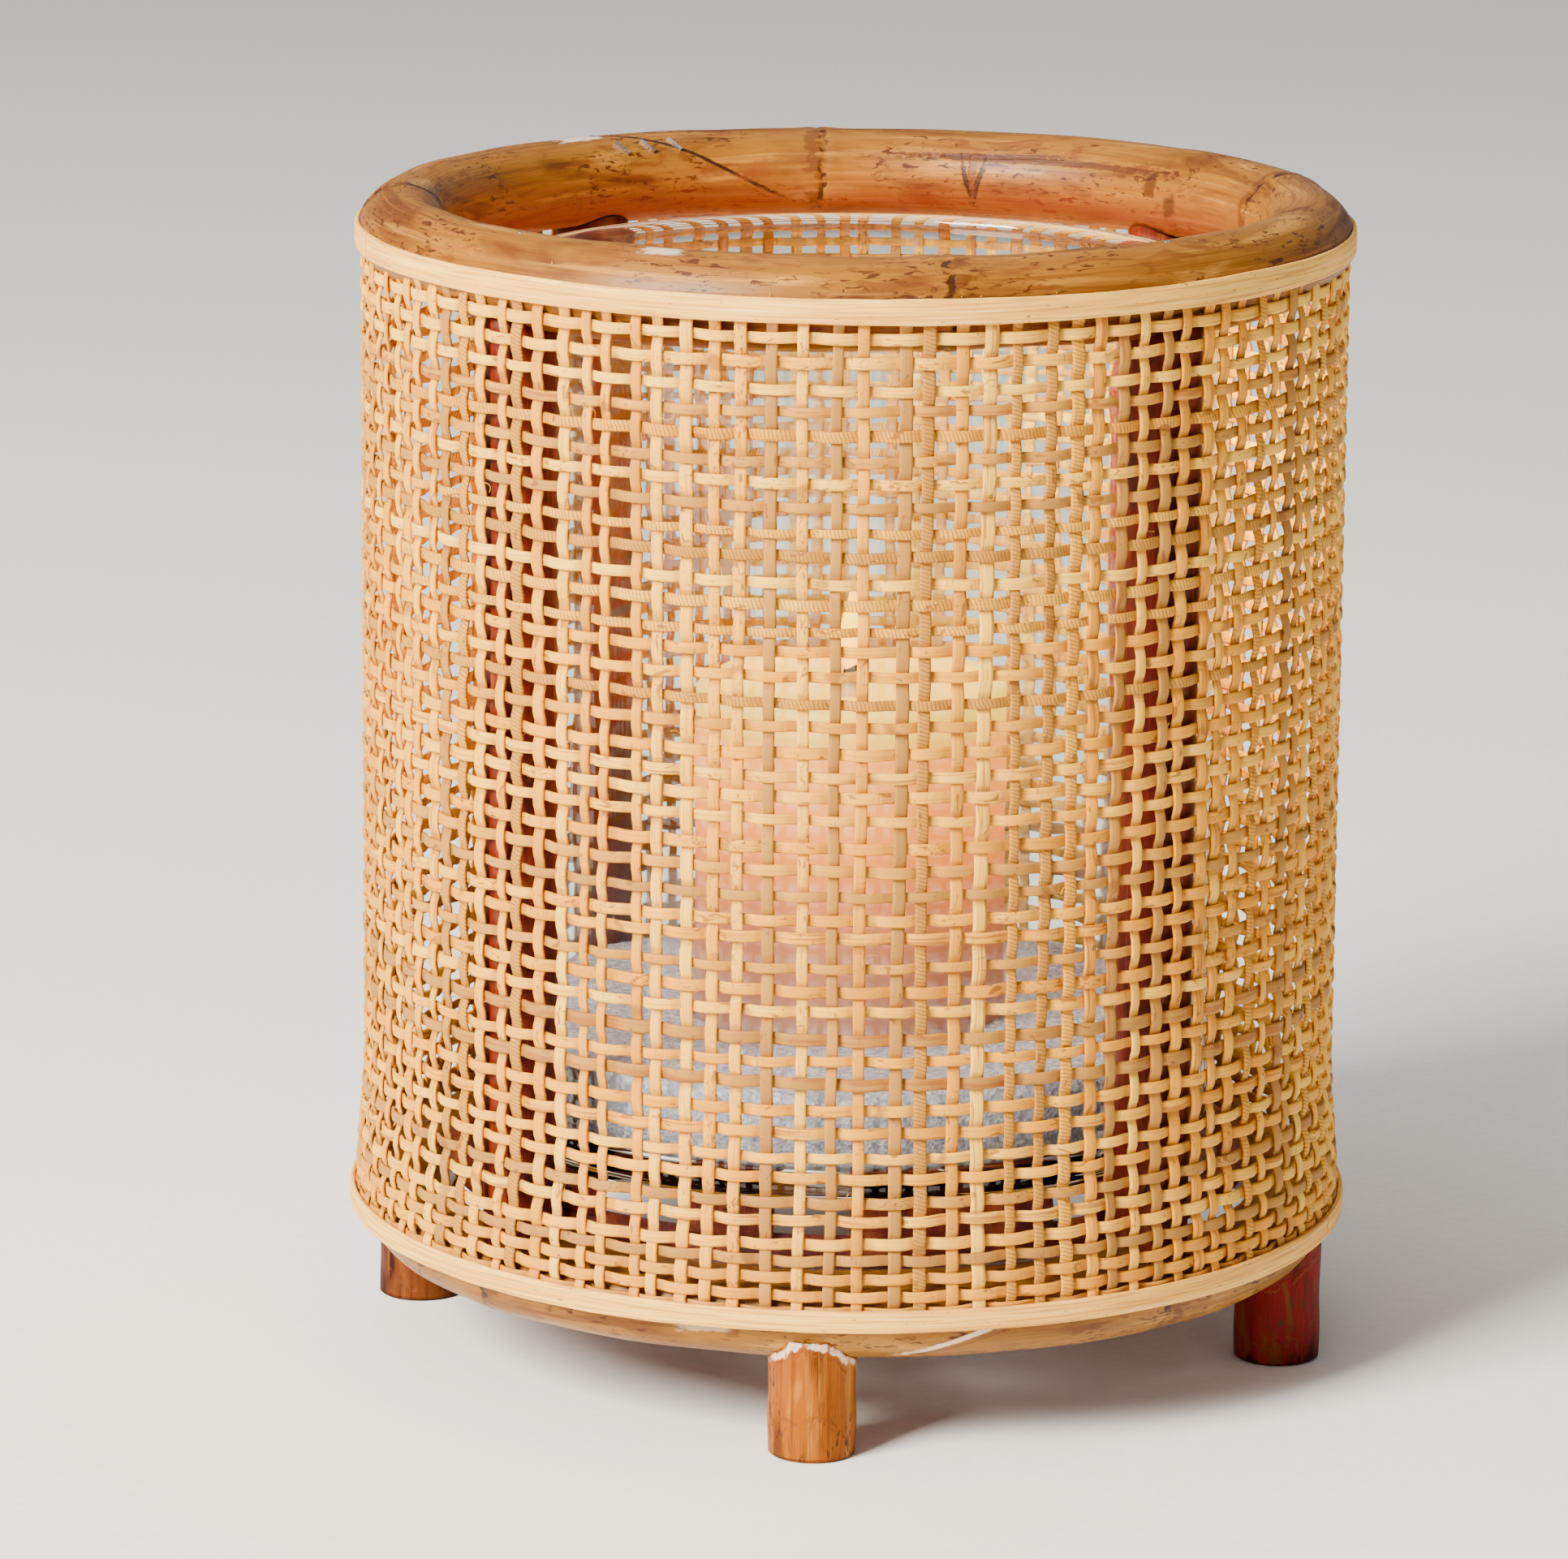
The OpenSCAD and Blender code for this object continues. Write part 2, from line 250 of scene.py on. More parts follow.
def tube_ring(segments, steps, angle=2 * math.pi):
    """A ring of radius 1 round a section, which the makers of bent pieces then shape."""
    bm = bmesh.new()
    bmesh.ops.create_circle(bm, segments=segments, radius=SECTION, cap_ends=False)
    bmesh.ops.rotate(bm, verts=bm.verts, cent=(0, 0, 0),
                     matrix=Matrix.Rotation(math.pi / segments, 3, "Z"))
    bmesh.ops.rotate(bm, verts=bm.verts, cent=(0, 0, 0), matrix=Matrix.Rotation(math.pi / 2, 3, "X"))
    for vert in bm.verts:
        vert.co.x, vert.co.y = 0.0, -1 - vert.co.x
    whole = angle > 2 * math.pi - 1e-6
    bmesh.ops.spin(bm, geom=list(bm.verts) + list(bm.edges), cent=(0, 0, 0), axis=(0, 0, 1),
                   dvec=(0, 0, 0), angle=angle, steps=steps, use_merge=whole, use_duplicate=False)
    if not whole:
        bmesh.ops.holes_fill(bm, edges=[e for e in bm.edges if e.is_boundary], sides=0)
    return bm


def ring_places(co):
    """Turn in degrees, and place across the section as out and up in units of its radius."""
    turn = np.degrees(np.arctan2(co[:, 0], -co[:, 1]))
    return turn, (np.hypot(co[:, 0], co[:, 1]) - 1) / SECTION, co[:, 2] / SECTION


def ring_point(turn, radius, z):
    """Rows x, y, z from turns in degrees, distances from the axis and heights."""
    a = np.radians(turn)
    return np.stack([radius * np.sin(a), -radius * np.cos(a), z], 1)


def squared(out, up, power=0.5):
    """A round section pushed out towards a rounded rectangle."""
    return np.sign(out) * np.abs(out) ** power, np.sign(up) * np.abs(up) ** power


# ---------------------------------------------------------------- helpers for materials

MATH, RANGE, RAMP = "ShaderNodeMath", "ShaderNodeMapRange", "ShaderNodeValToRGB"
SPLIT, ATTRIBUTE, TEXTURE = "ShaderNodeSeparateXYZ", "ShaderNodeAttribute", "ShaderNodeTexCoord"
SMOOTH = {"interpolation_type": "SMOOTHSTEP"}


def out_of(source):
    """The socket a node gives by default: the colour of a colour mix, or else its first output."""
    if isinstance(source, bpy.types.NodeSocket):
        return source
    return source.outputs[2 if source.bl_idname == "ShaderNodeMix" else 0]


def wire(tree, node, inputs):
    """Sets a node's inputs, each to a value or to what another node gives."""
    for key, value in inputs.items() if isinstance(inputs, dict) else enumerate(inputs):
        if isinstance(value, (bpy.types.NodeSocket, bpy.types.Node)):
            tree.links.new(out_of(value), node.inputs[key])
        else:
            node.inputs[key].default_value = value


def add_node(tree, kind, inputs=(), stops=(), **settings):
    """Adds one node with its settings, its inputs and, for a ramp, its stops."""
    node = tree.nodes.new(kind)
    for name, value in settings.items():
        setattr(node, name, value)
    wire(tree, node, inputs)
    if stops:
        elements = node.color_ramp.elements
        for place, _ in stops[2:]:
            elements.new(place)
        for element, (place, _) in zip(elements, stops):
            element.position = place
        for element, (_, colour) in zip(elements, stops):
            element.color = linear(colour) if isinstance(colour, str) else colour
    return node


def new_material(name):
    """A material with a node tree, and its Principled shader."""
    material = bpy.data.materials.new(name)
    material.use_nodes = True
    return material, material.node_tree, material.node_tree.nodes["Principled BSDF"]


def per(mm):
    """How often a pattern this many millimetres long repeats in a metre."""
    return 1000 / mm


def noise(tree, coords, sizes, detail=2.0, distortion=0.0):
    """Noise over coordinates whose features have these sizes in millimetres along x, y and z."""
    scaled = add_node(tree, "ShaderNodeVectorMath", [coords, [per(mm) for mm in sizes]],
                      operation="MULTIPLY")
    return add_node(tree, "ShaderNodeTexNoise", {
        "Vector": scaled, "Scale": 1.0, "Detail": detail, "Distortion": distortion,
        "Roughness": 0.5})


def patches(tree, coords, sizes, low, high, detail=2.0, distortion=0.0):
    """A mask from 0 to 1 as noise with features of these sizes in millimetres goes low to high."""
    return add_node(tree, RANGE, [noise(tree, coords, sizes, detail, distortion), low, high], **SMOOTH)


def painted(tree, base, *layers):
    """Colours laid over a base in turn, each given as its masks, its share and its colour."""
    for *masks, share, colour in layers:
        for mask in masks:
            share = add_node(tree, MATH, [mask, share], operation="MULTIPLY")
        colour = linear(colour) if isinstance(colour, str) else colour
        base = add_node(tree, "ShaderNodeMix", {0: share, 6: base, 7: colour}, data_type="RGBA")
    return base


def surfaced(tree, shader, base, height, depth, rough, more=None):
    """Gives a shader its colour, a bump this many millimetres deep, and its roughness, which is
    listed as a pattern, the levels it runs between and the roughness at each of them."""
    bump_node = add_node(tree, "ShaderNodeBump", {
        "Strength": 1.0, "Distance": depth * MM, "Height": height})
    wire(tree, shader, {"Base Color": base, "Normal": bump_node,
                        "Roughness": add_node(tree, RANGE, rough, **SMOOTH), **(more or {})})


def mark(tree, spot, ragged, u, v, half_length, half_width, slope=0.0):
    """A mask for a streak on a pole's surface: its middle, half sizes in metres and its slope."""
    along, around = (add_node(tree, MATH, [place, middle], operation="SUBTRACT")
                     for place, middle in zip(spot, (u, v)))
    off = add_node(tree, MATH, [along, -slope, around], operation="MULTIPLY_ADD")
    masks = []
    for apart, half, fray in ((off, half_width, 1.2), (along, half_length, 1.6)):
        apart = add_node(tree, MATH, [apart], operation="ABSOLUTE")
        apart = add_node(tree, MATH, [ragged, half * fray, apart], operation="MULTIPLY_ADD")
        masks.append(add_node(tree, RANGE, [apart, half * 0.7, half * 1.3, 1.0, 0.0], **SMOOTH))
    return add_node(tree, MATH, masks, operation="MULTIPLY")


# ---------------------------------------------------------------- finishes

def woven_cane_material(colours):
    """Peeled rattan core and cane, unvarnished: matt pale straw strands, each of its own shade,
    with fine fibre lines, a painted shade where a strand dips under another, and here and there
    hatching, brown specks, dark streaks and joints."""
    material, tree, shader = new_material("peeled cane, unvarnished")
    straight = add_node(tree, ATTRIBUTE, attribute_name="straight").outputs["Vector"]
    strand = add_node(tree, ATTRIBUTE, attribute_name="strand").outputs["Vector"]
    tone, kind, wave = add_node(tree, SPLIT, [strand]).outputs
    along, across, _ = add_node(tree, SPLIT, [straight]).outputs
    hatched, speckled, streaked = (
        add_node(tree, MATH, [kind, number, 0.1], operation="COMPARE") for number in (1.0, 2.0, 3.0))
    drift = add_node(tree, MATH, [noise(tree, straight, (30, 40, 40), 3), 0.5], operation="SUBTRACT")
    shade = add_node(tree, MATH, [drift, 1.1, tone], operation="MULTIPLY_ADD")
    base = add_node(tree, RAMP, [shade], [
        (0.05, colours.honey_cane), (0.5, colours.straw_cane), (1.0, colours.pale_cane)])
    fibre = noise(tree, straight, (14, 0.38, 0.38), 3, 0.2)
    between_fibres = add_node(tree, RANGE, [fibre, 0.36, 0.52, 1.0, 0.0], **SMOOTH)
    dark_strand = add_node(tree, RANGE, [tone, 0.5, 0.3], **SMOOTH)  # the darker are greyer too
    # Painted shade: a strand is darkened towards brown #86500A where it dips under another.
    tucked_shade = add_node(tree, RANGE, [wave, 0.1, -0.9], **SMOOTH)  # where it dips under another
    wobble = noise(tree, straight, (3, 2, 2), 2)
    slant = add_node(tree, MATH, [across, 0.3, along], operation="MULTIPLY_ADD")
    slant = add_node(tree, MATH, [wobble, 1.1 * MM, slant], operation="MULTIPLY_ADD")
    slant = add_node(tree, MATH, [slant, per(0.95) * 2 * math.pi], operation="MULTIPLY")
    cuts = add_node(tree, MATH, [slant], operation="SINE")
    cuts = add_node(tree, RANGE, [cuts, 0.3, 0.95], **SMOOTH)
    cuts = add_node(tree, MATH, [cuts, hatched], operation="MULTIPLY")
    joint = add_node(tree, MATH, [along, 1 / 0.47], operation="MULTIPLY")  # one in 0.47 m
    joint = add_node(tree, MATH, [joint], operation="FRACT")
    sway = add_node(tree, MATH, [wobble, 0.5], operation="SUBTRACT")
    joint = add_node(tree, MATH, [sway, 0.012, joint], operation="MULTIPLY_ADD")
    joint = add_node(tree, MATH, [joint, 0.5], operation="SUBTRACT")
    joint = add_node(tree, MATH, [joint], operation="ABSOLUTE")
    joint = add_node(tree, RANGE, [joint, 0.001, 0.005, 1.0, 0.0], **SMOOTH)
    base = painted(
        tree, base,
        (between_fibres, 0.4, "#A8700E"), (dark_strand, 0.4, "#B08A48"), (tucked_shade, 0.42, "#86500A"),
        (hatched, 0.4, "#C88A18"), (cuts, 0.6, "#744006"),
        (patches(tree, straight, (0.55, 2.6, 2.6), 0.6, 0.68),
         patches(tree, straight, (9, 12, 12), 0.48, 0.62), 0.55, "#8A4C10"),
        (patches(tree, straight, (5, 2.4, 2.4), 0.63, 0.69, 4, 0.8), 0.7, "#7A4210"),
        (patches(tree, straight, (1.7, 0.9, 0.9), 0.54, 0.64, 4, 0.6),
         patches(tree, straight, (16, 30, 30), 0.42, 0.6), speckled, 0.75, "#7E4312"),
        (patches(tree, straight, (22, 1.1, 1.1), 0.52, 0.64, 3, 0.5), streaked, 0.65, "#96501A"),
        (joint, 0.6, "#7B4514"))
    height = add_node(tree, MATH, [cuts, -0.3, fibre], operation="MULTIPLY_ADD")
    surfaced(tree, shader, base, height, 0.1, [fibre, 0.3, 0.7, 0.46, 0.66], {
        "Specular IOR Level": 0.22, "Subsurface Weight": 0.3,
        "Subsurface Radius": (1.0, 0.5, 0.15), "Subsurface Scale": 0.9 * MM})
    return material


def binding_material(colours):
    """Split and planed cane strip: cream and matt, with close straight grain and tiny dark pores."""
    material, tree, shader = new_material("split cane strip, planed")
    straight = add_node(tree, ATTRIBUTE, attribute_name="straight").outputs["Vector"]
    grain = noise(tree, straight, (24, 0.55, 0.55), 3)
    base = painted(
        tree, colours.strip_cane,
        (patches(tree, straight, (60, 2.2, 2.2), 0.38, 0.66), 1.0, "#EBAA48"),
        (add_node(tree, RANGE, [grain, 0.48, 0.62], **SMOOTH), 0.6, "#C07E30"),
        (add_node(tree, RANGE, [grain, 0.4, 0.3], **SMOOTH), 0.6, "#FDDA98"),
        (patches(tree, straight, (2.4, 0.6, 0.6), 0.68, 0.73), 0.8, "#6A3C18"))
    surfaced(tree, shader, base, grain, 0.08, [grain, 0.3, 0.7, 0.48, 0.66], {
        "Specular IOR Level": 0.25, "Subsurface Weight": 0.12,
        "Subsurface Radius": (1.0, 0.6, 0.3), "Subsurface Scale": 0.8 * MM})
    return material


RING = 1000  # the half width in millimetres that stands for a mark right round a pole


def pole_material(name, body, deep, pale, marks, pole, radius, painted_glow_and_shade=0.0, coat=0.1, gloss=0.18):
    """Rattan pole with its skin on, toasted by flame and clear varnished: brown, warm and satiny,
    streaked along its length, with dark ragged node rings, scorched patches and flecks, and, where
    a share is given, a painted red-brown candle glow and shade on its inside and underside."""
    material, tree, shader = new_material(name)
    straight = add_node(tree, ATTRIBUTE, attribute_name="straight").outputs["Vector"]
    _, out, up = add_node(tree, SPLIT, [straight]).outputs
    along, around, _ = add_node(tree, SPLIT, [
        add_node(tree, "ShaderNodeUVMap", uv_map="round")]).outputs
    mottle = noise(tree, straight, (42, 9, 9), 4, 0.5)
    base = add_node(tree, RAMP, [mottle], [(0.34, deep), (0.46, body), (0.58, body), (0.74, pale)])
    streaks = noise(tree, straight, (55, 1.6, 1.6), 4, 0.3)
    grain = noise(tree, straight, (9, 0.35, 0.35), 3)
    base = painted(
        tree, base,
        (add_node(tree, RANGE, [streaks, 0.5, 0.72], **SMOOTH), 0.6, deep),
        (add_node(tree, RANGE, [streaks, 0.44, 0.26], **SMOOTH), 0.45, pale),
        (add_node(tree, RANGE, [grain, 0.52, 0.7], **SMOOTH), 0.35, "#6E3712"),
        (patches(tree, straight, (3.6, 1.2, 1.2), 0.56, 0.63, 4, 0.8),
         patches(tree, straight, (30, 14, 14), 0.4, 0.56, 1), 1.0, "#4C240A"),
        (patches(tree, straight, (16, 5, 5), 0.57, 0.68, 5, 1.2), 0.75, "#6E3A0E"))
    # Painted candle glow and shade: the pole's inside and underside are darkened towards red-brown
    # #6E2402.
    if painted_glow_and_shade:
        inside = add_node(tree, RANGE, [out, -0.2 * pole, -0.95 * pole], **SMOOTH)
        under = add_node(tree, RANGE, [up, 0.25 * pole, -0.8 * pole], **SMOOTH)
        base = painted(tree, base, (inside, under, painted_glow_and_shade, "#6E2402"))
    height = add_node(tree, MATH, [streaks, 0.6, grain], operation="MULTIPLY_ADD")
    ragged = add_node(tree, MATH, [noise(tree, straight, (2.2, 1.4, 1.4), 4), 0.45],
                      operation="SUBTRACT")
    wander = add_node(tree, MATH, [noise(tree, straight, (26, 5, 5), 3), 0.5], operation="SUBTRACT")
    wander = add_node(tree, MATH, [wander, 8 * MM, along], operation="MULTIPLY_ADD")
    broken = add_node(tree, RANGE, [noise(tree, straight, (5, 2.8, 2.8), 4), 0.4, 0.54, 0.12, 1.0],
                      **SMOOTH)
    for turn, place, length, width, slope, colour, strength in marks:
        ring = width == RING
        mask = mark(tree, (wander if ring else along, around), ragged,
                    math.radians(turn) * radius, math.radians(place) * pole,
                    length * MM, width * MM, slope)
        if ring:
            mask = add_node(tree, MATH, [mask, broken], operation="MULTIPLY")
        base = painted(tree, base, (mask, strength, colour))
        if length < 2 or width < 1:
            height = add_node(tree, MATH, [mask, -0.8, height], operation="MULTIPLY_ADD")
    surfaced(tree, shader, base, height, 0.16, [mottle, 0.3, 0.7, 0.52, 0.36], {
        "Specular IOR Level": gloss, "Coat Weight": coat, "Coat Roughness": 0.26})
    return material


def base_material(colours):
    """Stained rattan splints of the base: dark red-brown, dull, with lengthwise grain."""
    material, tree, shader = new_material("stained rattan, dull")
    coords = add_node(tree, TEXTURE).outputs["Object"]
    base = add_node(tree, RAMP, [noise(tree, coords, (7, 60, 7), 3, 0.3)], [
        (0.3, "#3D1208"), (0.5, colours.dark_rattan), (0.72, "#9A4A22")])
    grain = noise(tree, coords, (0.5, 16, 0.5), 3)
    grooves = add_node(tree, RANGE, [grain, 0.5, 0.7], **SMOOTH)
    base = painted(tree, base, (grooves, 0.5, "#2B0E06"))
    surfaced(tree, shader, base, grain, 0.15, [grain, 0.3, 0.7, 0.4, 0.6])
    return material


def steel_material():
    """Bright drawn steel wire of the nails, pins and staples: grey and shiny, slightly scratched."""
    material, tree, shader = new_material("drawn steel wire")
    coords = add_node(tree, TEXTURE).outputs["Object"]
    scratches = noise(tree, coords, (0.8, 0.8, 3), 3)
    tarnish = patches(tree, coords, (2.5, 2.5, 2.5), 0.45, 0.7)
    base = painted(tree, linear("#DDDAD4"), (tarnish, 1.0, "#A39A8E"))
    surfaced(tree, shader, base, scratches, 0.03, [scratches, 0.3, 0.7, 0.18, 0.36],
             {"Metallic": 1.0})
    return material


def glass_material():
    """Pressed soda-lime glass: clear and shiny, faintly green where it is thick, a little wavy."""
    material, tree, shader = new_material("pressed soda-lime glass")
    coords = add_node(tree, TEXTURE).outputs["Object"]
    wavy = noise(tree, coords, (26, 26, 60), 2)
    smear = noise(tree, coords, (18, 18, 30), 3)
    surfaced(tree, shader, linear("#F3FBF7"), wavy, 0.25, [smear, 0.4, 0.75, 0.01, 0.05],
             {"IOR": 1.52, "Transmission Weight": 1.0})
    return material


def sand_material(colours):
    """Washed quartz sand, cool grey with a lilac cast: dull, every grain its own shade."""
    material, tree, shader = new_material("washed quartz sand")
    coords = add_node(tree, TEXTURE).outputs["Object"]
    grit = add_node(tree, "ShaderNodeTexVoronoi", {"Vector": coords, "Scale": per(0.9)})
    level = add_node(tree, "ShaderNodeSeparateColor", [grit.outputs["Color"]])
    base = add_node(tree, RAMP, [level], [
        (0.0, "#8E8AA0"), (0.35, colours.sand), (0.8, "#C9C4D0"), (1.0, "#EFEAE6")])
    base = painted(tree, base, (patches(tree, coords, (14, 14, 14), 0.4, 0.7), 0.35, "#9A93A6"))
    surfaced(tree, shader, base, grit.outputs["Distance"], 0.25, [level, 0.0, 1.0, 0.95, 0.6])
    return material


def wax_material(colours, top, depth):
    """Cast paraffin wax: soft, milky and faintly greasy, lit through near the flame, where it glows
    yellow and orange, and plain cream with a rosy shade further down."""
    material, tree, shader = new_material("cast paraffin wax")
    coords = add_node(tree, TEXTURE).outputs["Object"]
    height = add_node(tree, SPLIT, [coords]).outputs[2]
    cloud = noise(tree, coords, (11, 11, 16), 3)
    uneven = add_node(tree, MATH, [cloud, 8 * MM, height], operation="MULTIPLY_ADD")
    share = add_node(tree, RANGE, [uneven, top - depth, top + 4 * MM], **SMOOTH)
    base = add_node(tree, RAMP, [share], [
        (0.0, "#B87E68"), (0.35, "#D08A5C"), (0.65, "#E89A4C"), (1.0, colours.wax)])
    glow = add_node(tree, RAMP, [share], [
        (0.0, "#2A0E06"), (0.3, "#8A3A10"), (0.62, "#E86C08"), (0.95, "#FF8A08"),
        (0.985, "#FFD000")])
    surfaced(tree, shader, base, cloud, 0.3, [cloud, 0.3, 0.7, 0.32, 0.5], {
        "Emission Color": glow, "Emission Strength": 1.9, "Subsurface Weight": 0.4,
        "Subsurface Radius": (1.0, 0.5, 0.25), "Subsurface Scale": 5 * MM})
    return material


def wick_material(low, high):
    """Braided cotton wick: waxed and pale at its foot, charred black above, with an ember tip."""
    material, tree, shader = new_material("braided cotton, charred")
    coords = add_node(tree, TEXTURE).outputs["Object"]
    height = add_node(tree, SPLIT, [coords]).outputs[2]
    share = add_node(tree, RANGE, [height, low, high], **SMOOTH)
    base = add_node(tree, RAMP, [share], [(0.1, "#D9C4A0"), (0.4, "#4A3322"), (0.6, "#15100D")])
    ember = add_node(tree, RAMP, [share], [(0.86, "#000000"), (0.97, "#FF5A14")])
    braid = noise(tree, coords, (0.5, 0.5, 0.9), 3)
    surfaced(tree, shader, base, braid, 0.2, [braid, 0.3, 0.7, 0.7, 0.95],
             {"Emission Color": ember, "Emission Strength": 3.0})
    return material


def flame_material(low, high):
    """Candle flame: glowing gas with no surface of its own, orange at its foot and tip, else yellow."""
    material, tree, shader = new_material("candle flame")
    coords = add_node(tree, TEXTURE).outputs["Object"]
    height = add_node(tree, SPLIT, [coords]).outputs[2]
    share = add_node(tree, RANGE, [height, low, high], **SMOOTH)
    glow = add_node(tree, RAMP, [share], [
        (0.0, "#FF9A20"), (0.14, "#FFA800"), (0.4, "#FFC800"), (0.7, "#FFDC20"), (1.0, "#FFA000")])
    wire(tree, shader, {"Base Color": linear("#FFC870"), "Roughness": 1.0, "Emission Color": glow,
                        "Emission Strength": 4.0, "Specular IOR Level": 0.0})
    return material


# ---------------------------------------------------------------- makers

def stained(piece, material, body, slot, *nodes):
    """Gives a piece its finish, the body it moves with and the CAD nodes it stands for."""
    piece.data.materials.clear()
    piece.data.materials.append(material)
    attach(piece, body)
    if nodes:
        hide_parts(*nodes)
    return piece


def stained_nodes(material, *names):
    """Gives CAD nodes that are shown as they are their finish."""
    for name in names:
        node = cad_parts[name]
        node.data.materials.clear()
        node.data.materials.append(material)


def bent_pole(name, radius, pole, z, scarf, run, wrap, node_turns, calm_turns, seed, oval=(0, 0)):
    """A rattan pole bent into a hoop: slightly wavy, swollen at its nodes, grain along its length.
    Oval says how far the hoop stands out of round at its sides, and at its front and back."""
    piece = finished(tube_ring(72, 600), name)
    mesh = piece.data
    turn, out, up = ring_places(points(mesh))
    a, v = np.radians(turn), np.arctan2(up, out)
    calm = 1 - np.clip(sum(bump(turn_apart(turn, t), 0, 4) for t in calm_turns), 0, 0.9)
    swell = waves(a, seed, 0.16 * MM, 6, 3) + 0.1 * MM * np.sin(2 * v + 5 * a) + waves(
        a, seed + 5, 0.06 * MM, 10, 18)
    for node_turn in node_turns:
        apart = turn_apart(turn, node_turn) * math.pi / 180 * radius
        apart = apart + 1.1 * MM * np.sin(v * 2 + node_turn)
        swell += 0.42 * MM * bump(apart, 0, 4.5 * MM) - 0.4 * MM * bump(apart, 0.4 * MM, 0.9 * MM)
    tube_angle = np.degrees(v) % 360 if scarf[1] > 0 else np.degrees(v)
    scarf_turn = scarf[0] + (tube_angle - scarf[1]) * run
    apart = turn_apart(turn, scarf_turn) * math.pi / 180 * radius
    swell -= 0.22 * MM * bump(apart, 0, 0.9 * MM)
    size = pole + swell * calm
    lift = waves(a, seed + 1, 0.22 * MM, 4, 2) * calm
    bow = waves(a, seed + 2, 0.16 * MM, 4, 2) * calm
    bow = bow + oval[0] * np.sin(a) ** 2 + oval[1] * np.cos(a) ** 2
    move_points(mesh, ring_point(turn, radius + bow + np.cos(v) * size, z + lift + np.sin(v) * size))
    corners, faces = corner_points(mesh)
    along = unrolled(turn, corners, faces, scarf_turn)
    write_vectors(mesh, "straight", np.stack([
        np.radians(along) * radius, (np.cos(v) * pole)[corners], (np.sin(v) * pole)[corners]], 1))
    around = unrolled(np.degrees(v), corners, faces, -90.0)
    length = unrolled(turn, corners, faces, float(wrap))
    write_map(mesh, "round", np.stack([
        np.radians(length) * radius, np.radians(around) * pole], 1))
    return piece


def binding_strip(name, box, butt, seed):
    """A flat split cane strip bent round the wall, its ends meeting in a butt joint."""
    low, high = box
    middle, half_h, half_t = (low.z + high.z) / 2, (high.z - low.z) / 2, 0.6 * MM
    radius = high.x - half_t
    gap = math.degrees(BUTT_GAP / radius)
    piece = finished(tube_ring(16, 420, math.radians(360 - gap)), name)
    mesh = piece.data
    turn, out, up = ring_places(points(mesh))
    out, up = squared(out, up, 0.42)
    turn = turn % 360
    a = np.radians(turn)
    edge = waves(a, seed, 0.12 * MM, 8, 9) + waves(a, seed + 3, 0.05 * MM, 10, 40)
    lift = waves(a, seed + 1, 0.22 * MM, 5, 2)
    bow = np.abs(waves(a, seed + 2, 0.1 * MM, 5, 3))
    crown = 0.12 * MM * (1 - up ** 2) * (out > 0)
    places = ring_point(turn + butt + gap / 2, radius + bow + out * half_t + crown,
                        middle + lift + up * (half_h + edge))
    move_points(mesh, places)
    corners, faces = corner_points(mesh)
    write_vectors(mesh, "straight", np.stack([
        unrolled(turn, corners, faces, -0.01) * math.pi / 180 * radius,
        (up * half_h)[corners], (out * half_t)[corners]], 1))
    return piece


def upright_pole(name, turn, radius, pole, low, high, seed, worn=0.3 * MM):
    """A short upright length of rattan pole, whose ends follow two given heights over its section."""
    rings = [0, 0.4 * pole, 0.75 * pole]
    profile = [(r, 0) for r in rings] + arc((pole - worn, worn), worn, -90, 0, 4)
    profile += [(pole, h) for h in np.linspace(0.02, 0.98, 44)]
    profile += [(r, 1) for r in (pole, 0.75 * pole, 0.4 * pole, 0)]
    piece = lathed(name, profile, 56)
    mesh = piece.data
    co = points(mesh)
    x, y, share = co[:, 0], co[:, 1], co[:, 2]
    a = np.arctan2(y, x)
    size = 1 + (waves(a, seed, 0.012, 3, 2) + 0.012 * np.sin(9 * share + seed)) * (0 < share)
    x, y = x * size, y * size
    t = math.radians(turn)
    away = radius - y  # the pole's own y points towards the lantern's axis
    floor, roof = low(x, away), high(x, away)
    worn_part = share < worn + 1e-6
    z = np.where(worn_part, floor + share, floor + share * (roof - floor))
    places = np.stack([
        away * math.sin(t) + x * math.cos(t), -away * math.cos(t) + x * math.sin(t), z], 1)
    move_points(mesh, places)
    corners, faces = corner_points(mesh)
    around = unrolled(np.degrees(a), corners, faces, 90.0)
    end = (roof - z)[corners]
    write_vectors(mesh, "straight", np.stack([z + seed * 0.37, x, y], 1)[corners])
    write_map(mesh, "round", np.stack([end, np.radians(around) * pole], 1))
    return piece


def over_hoop(hoop_r, pole, z, side, reach):
    """A height function that follows a hoop's surface, above or below it, as far as a saddle reaches."""
    def height(x, away):
        off = np.clip(np.abs(np.hypot(x, away) - hoop_r), 0, 0.999 * pole)
        drop = np.sqrt(pole ** 2 - off ** 2)
        return z + side * np.maximum(drop, pole - reach)
    return height


BROWN_UPRIGHTS = ((8, 1), (23.5, 1), (32, 3), (-41, 1))  # turn and kind of the brownest strands
BROWN_ROWS = ((0.102, 3), (0.0926, 3), (0.0615, 2), (0.214, 1))  # height and kind


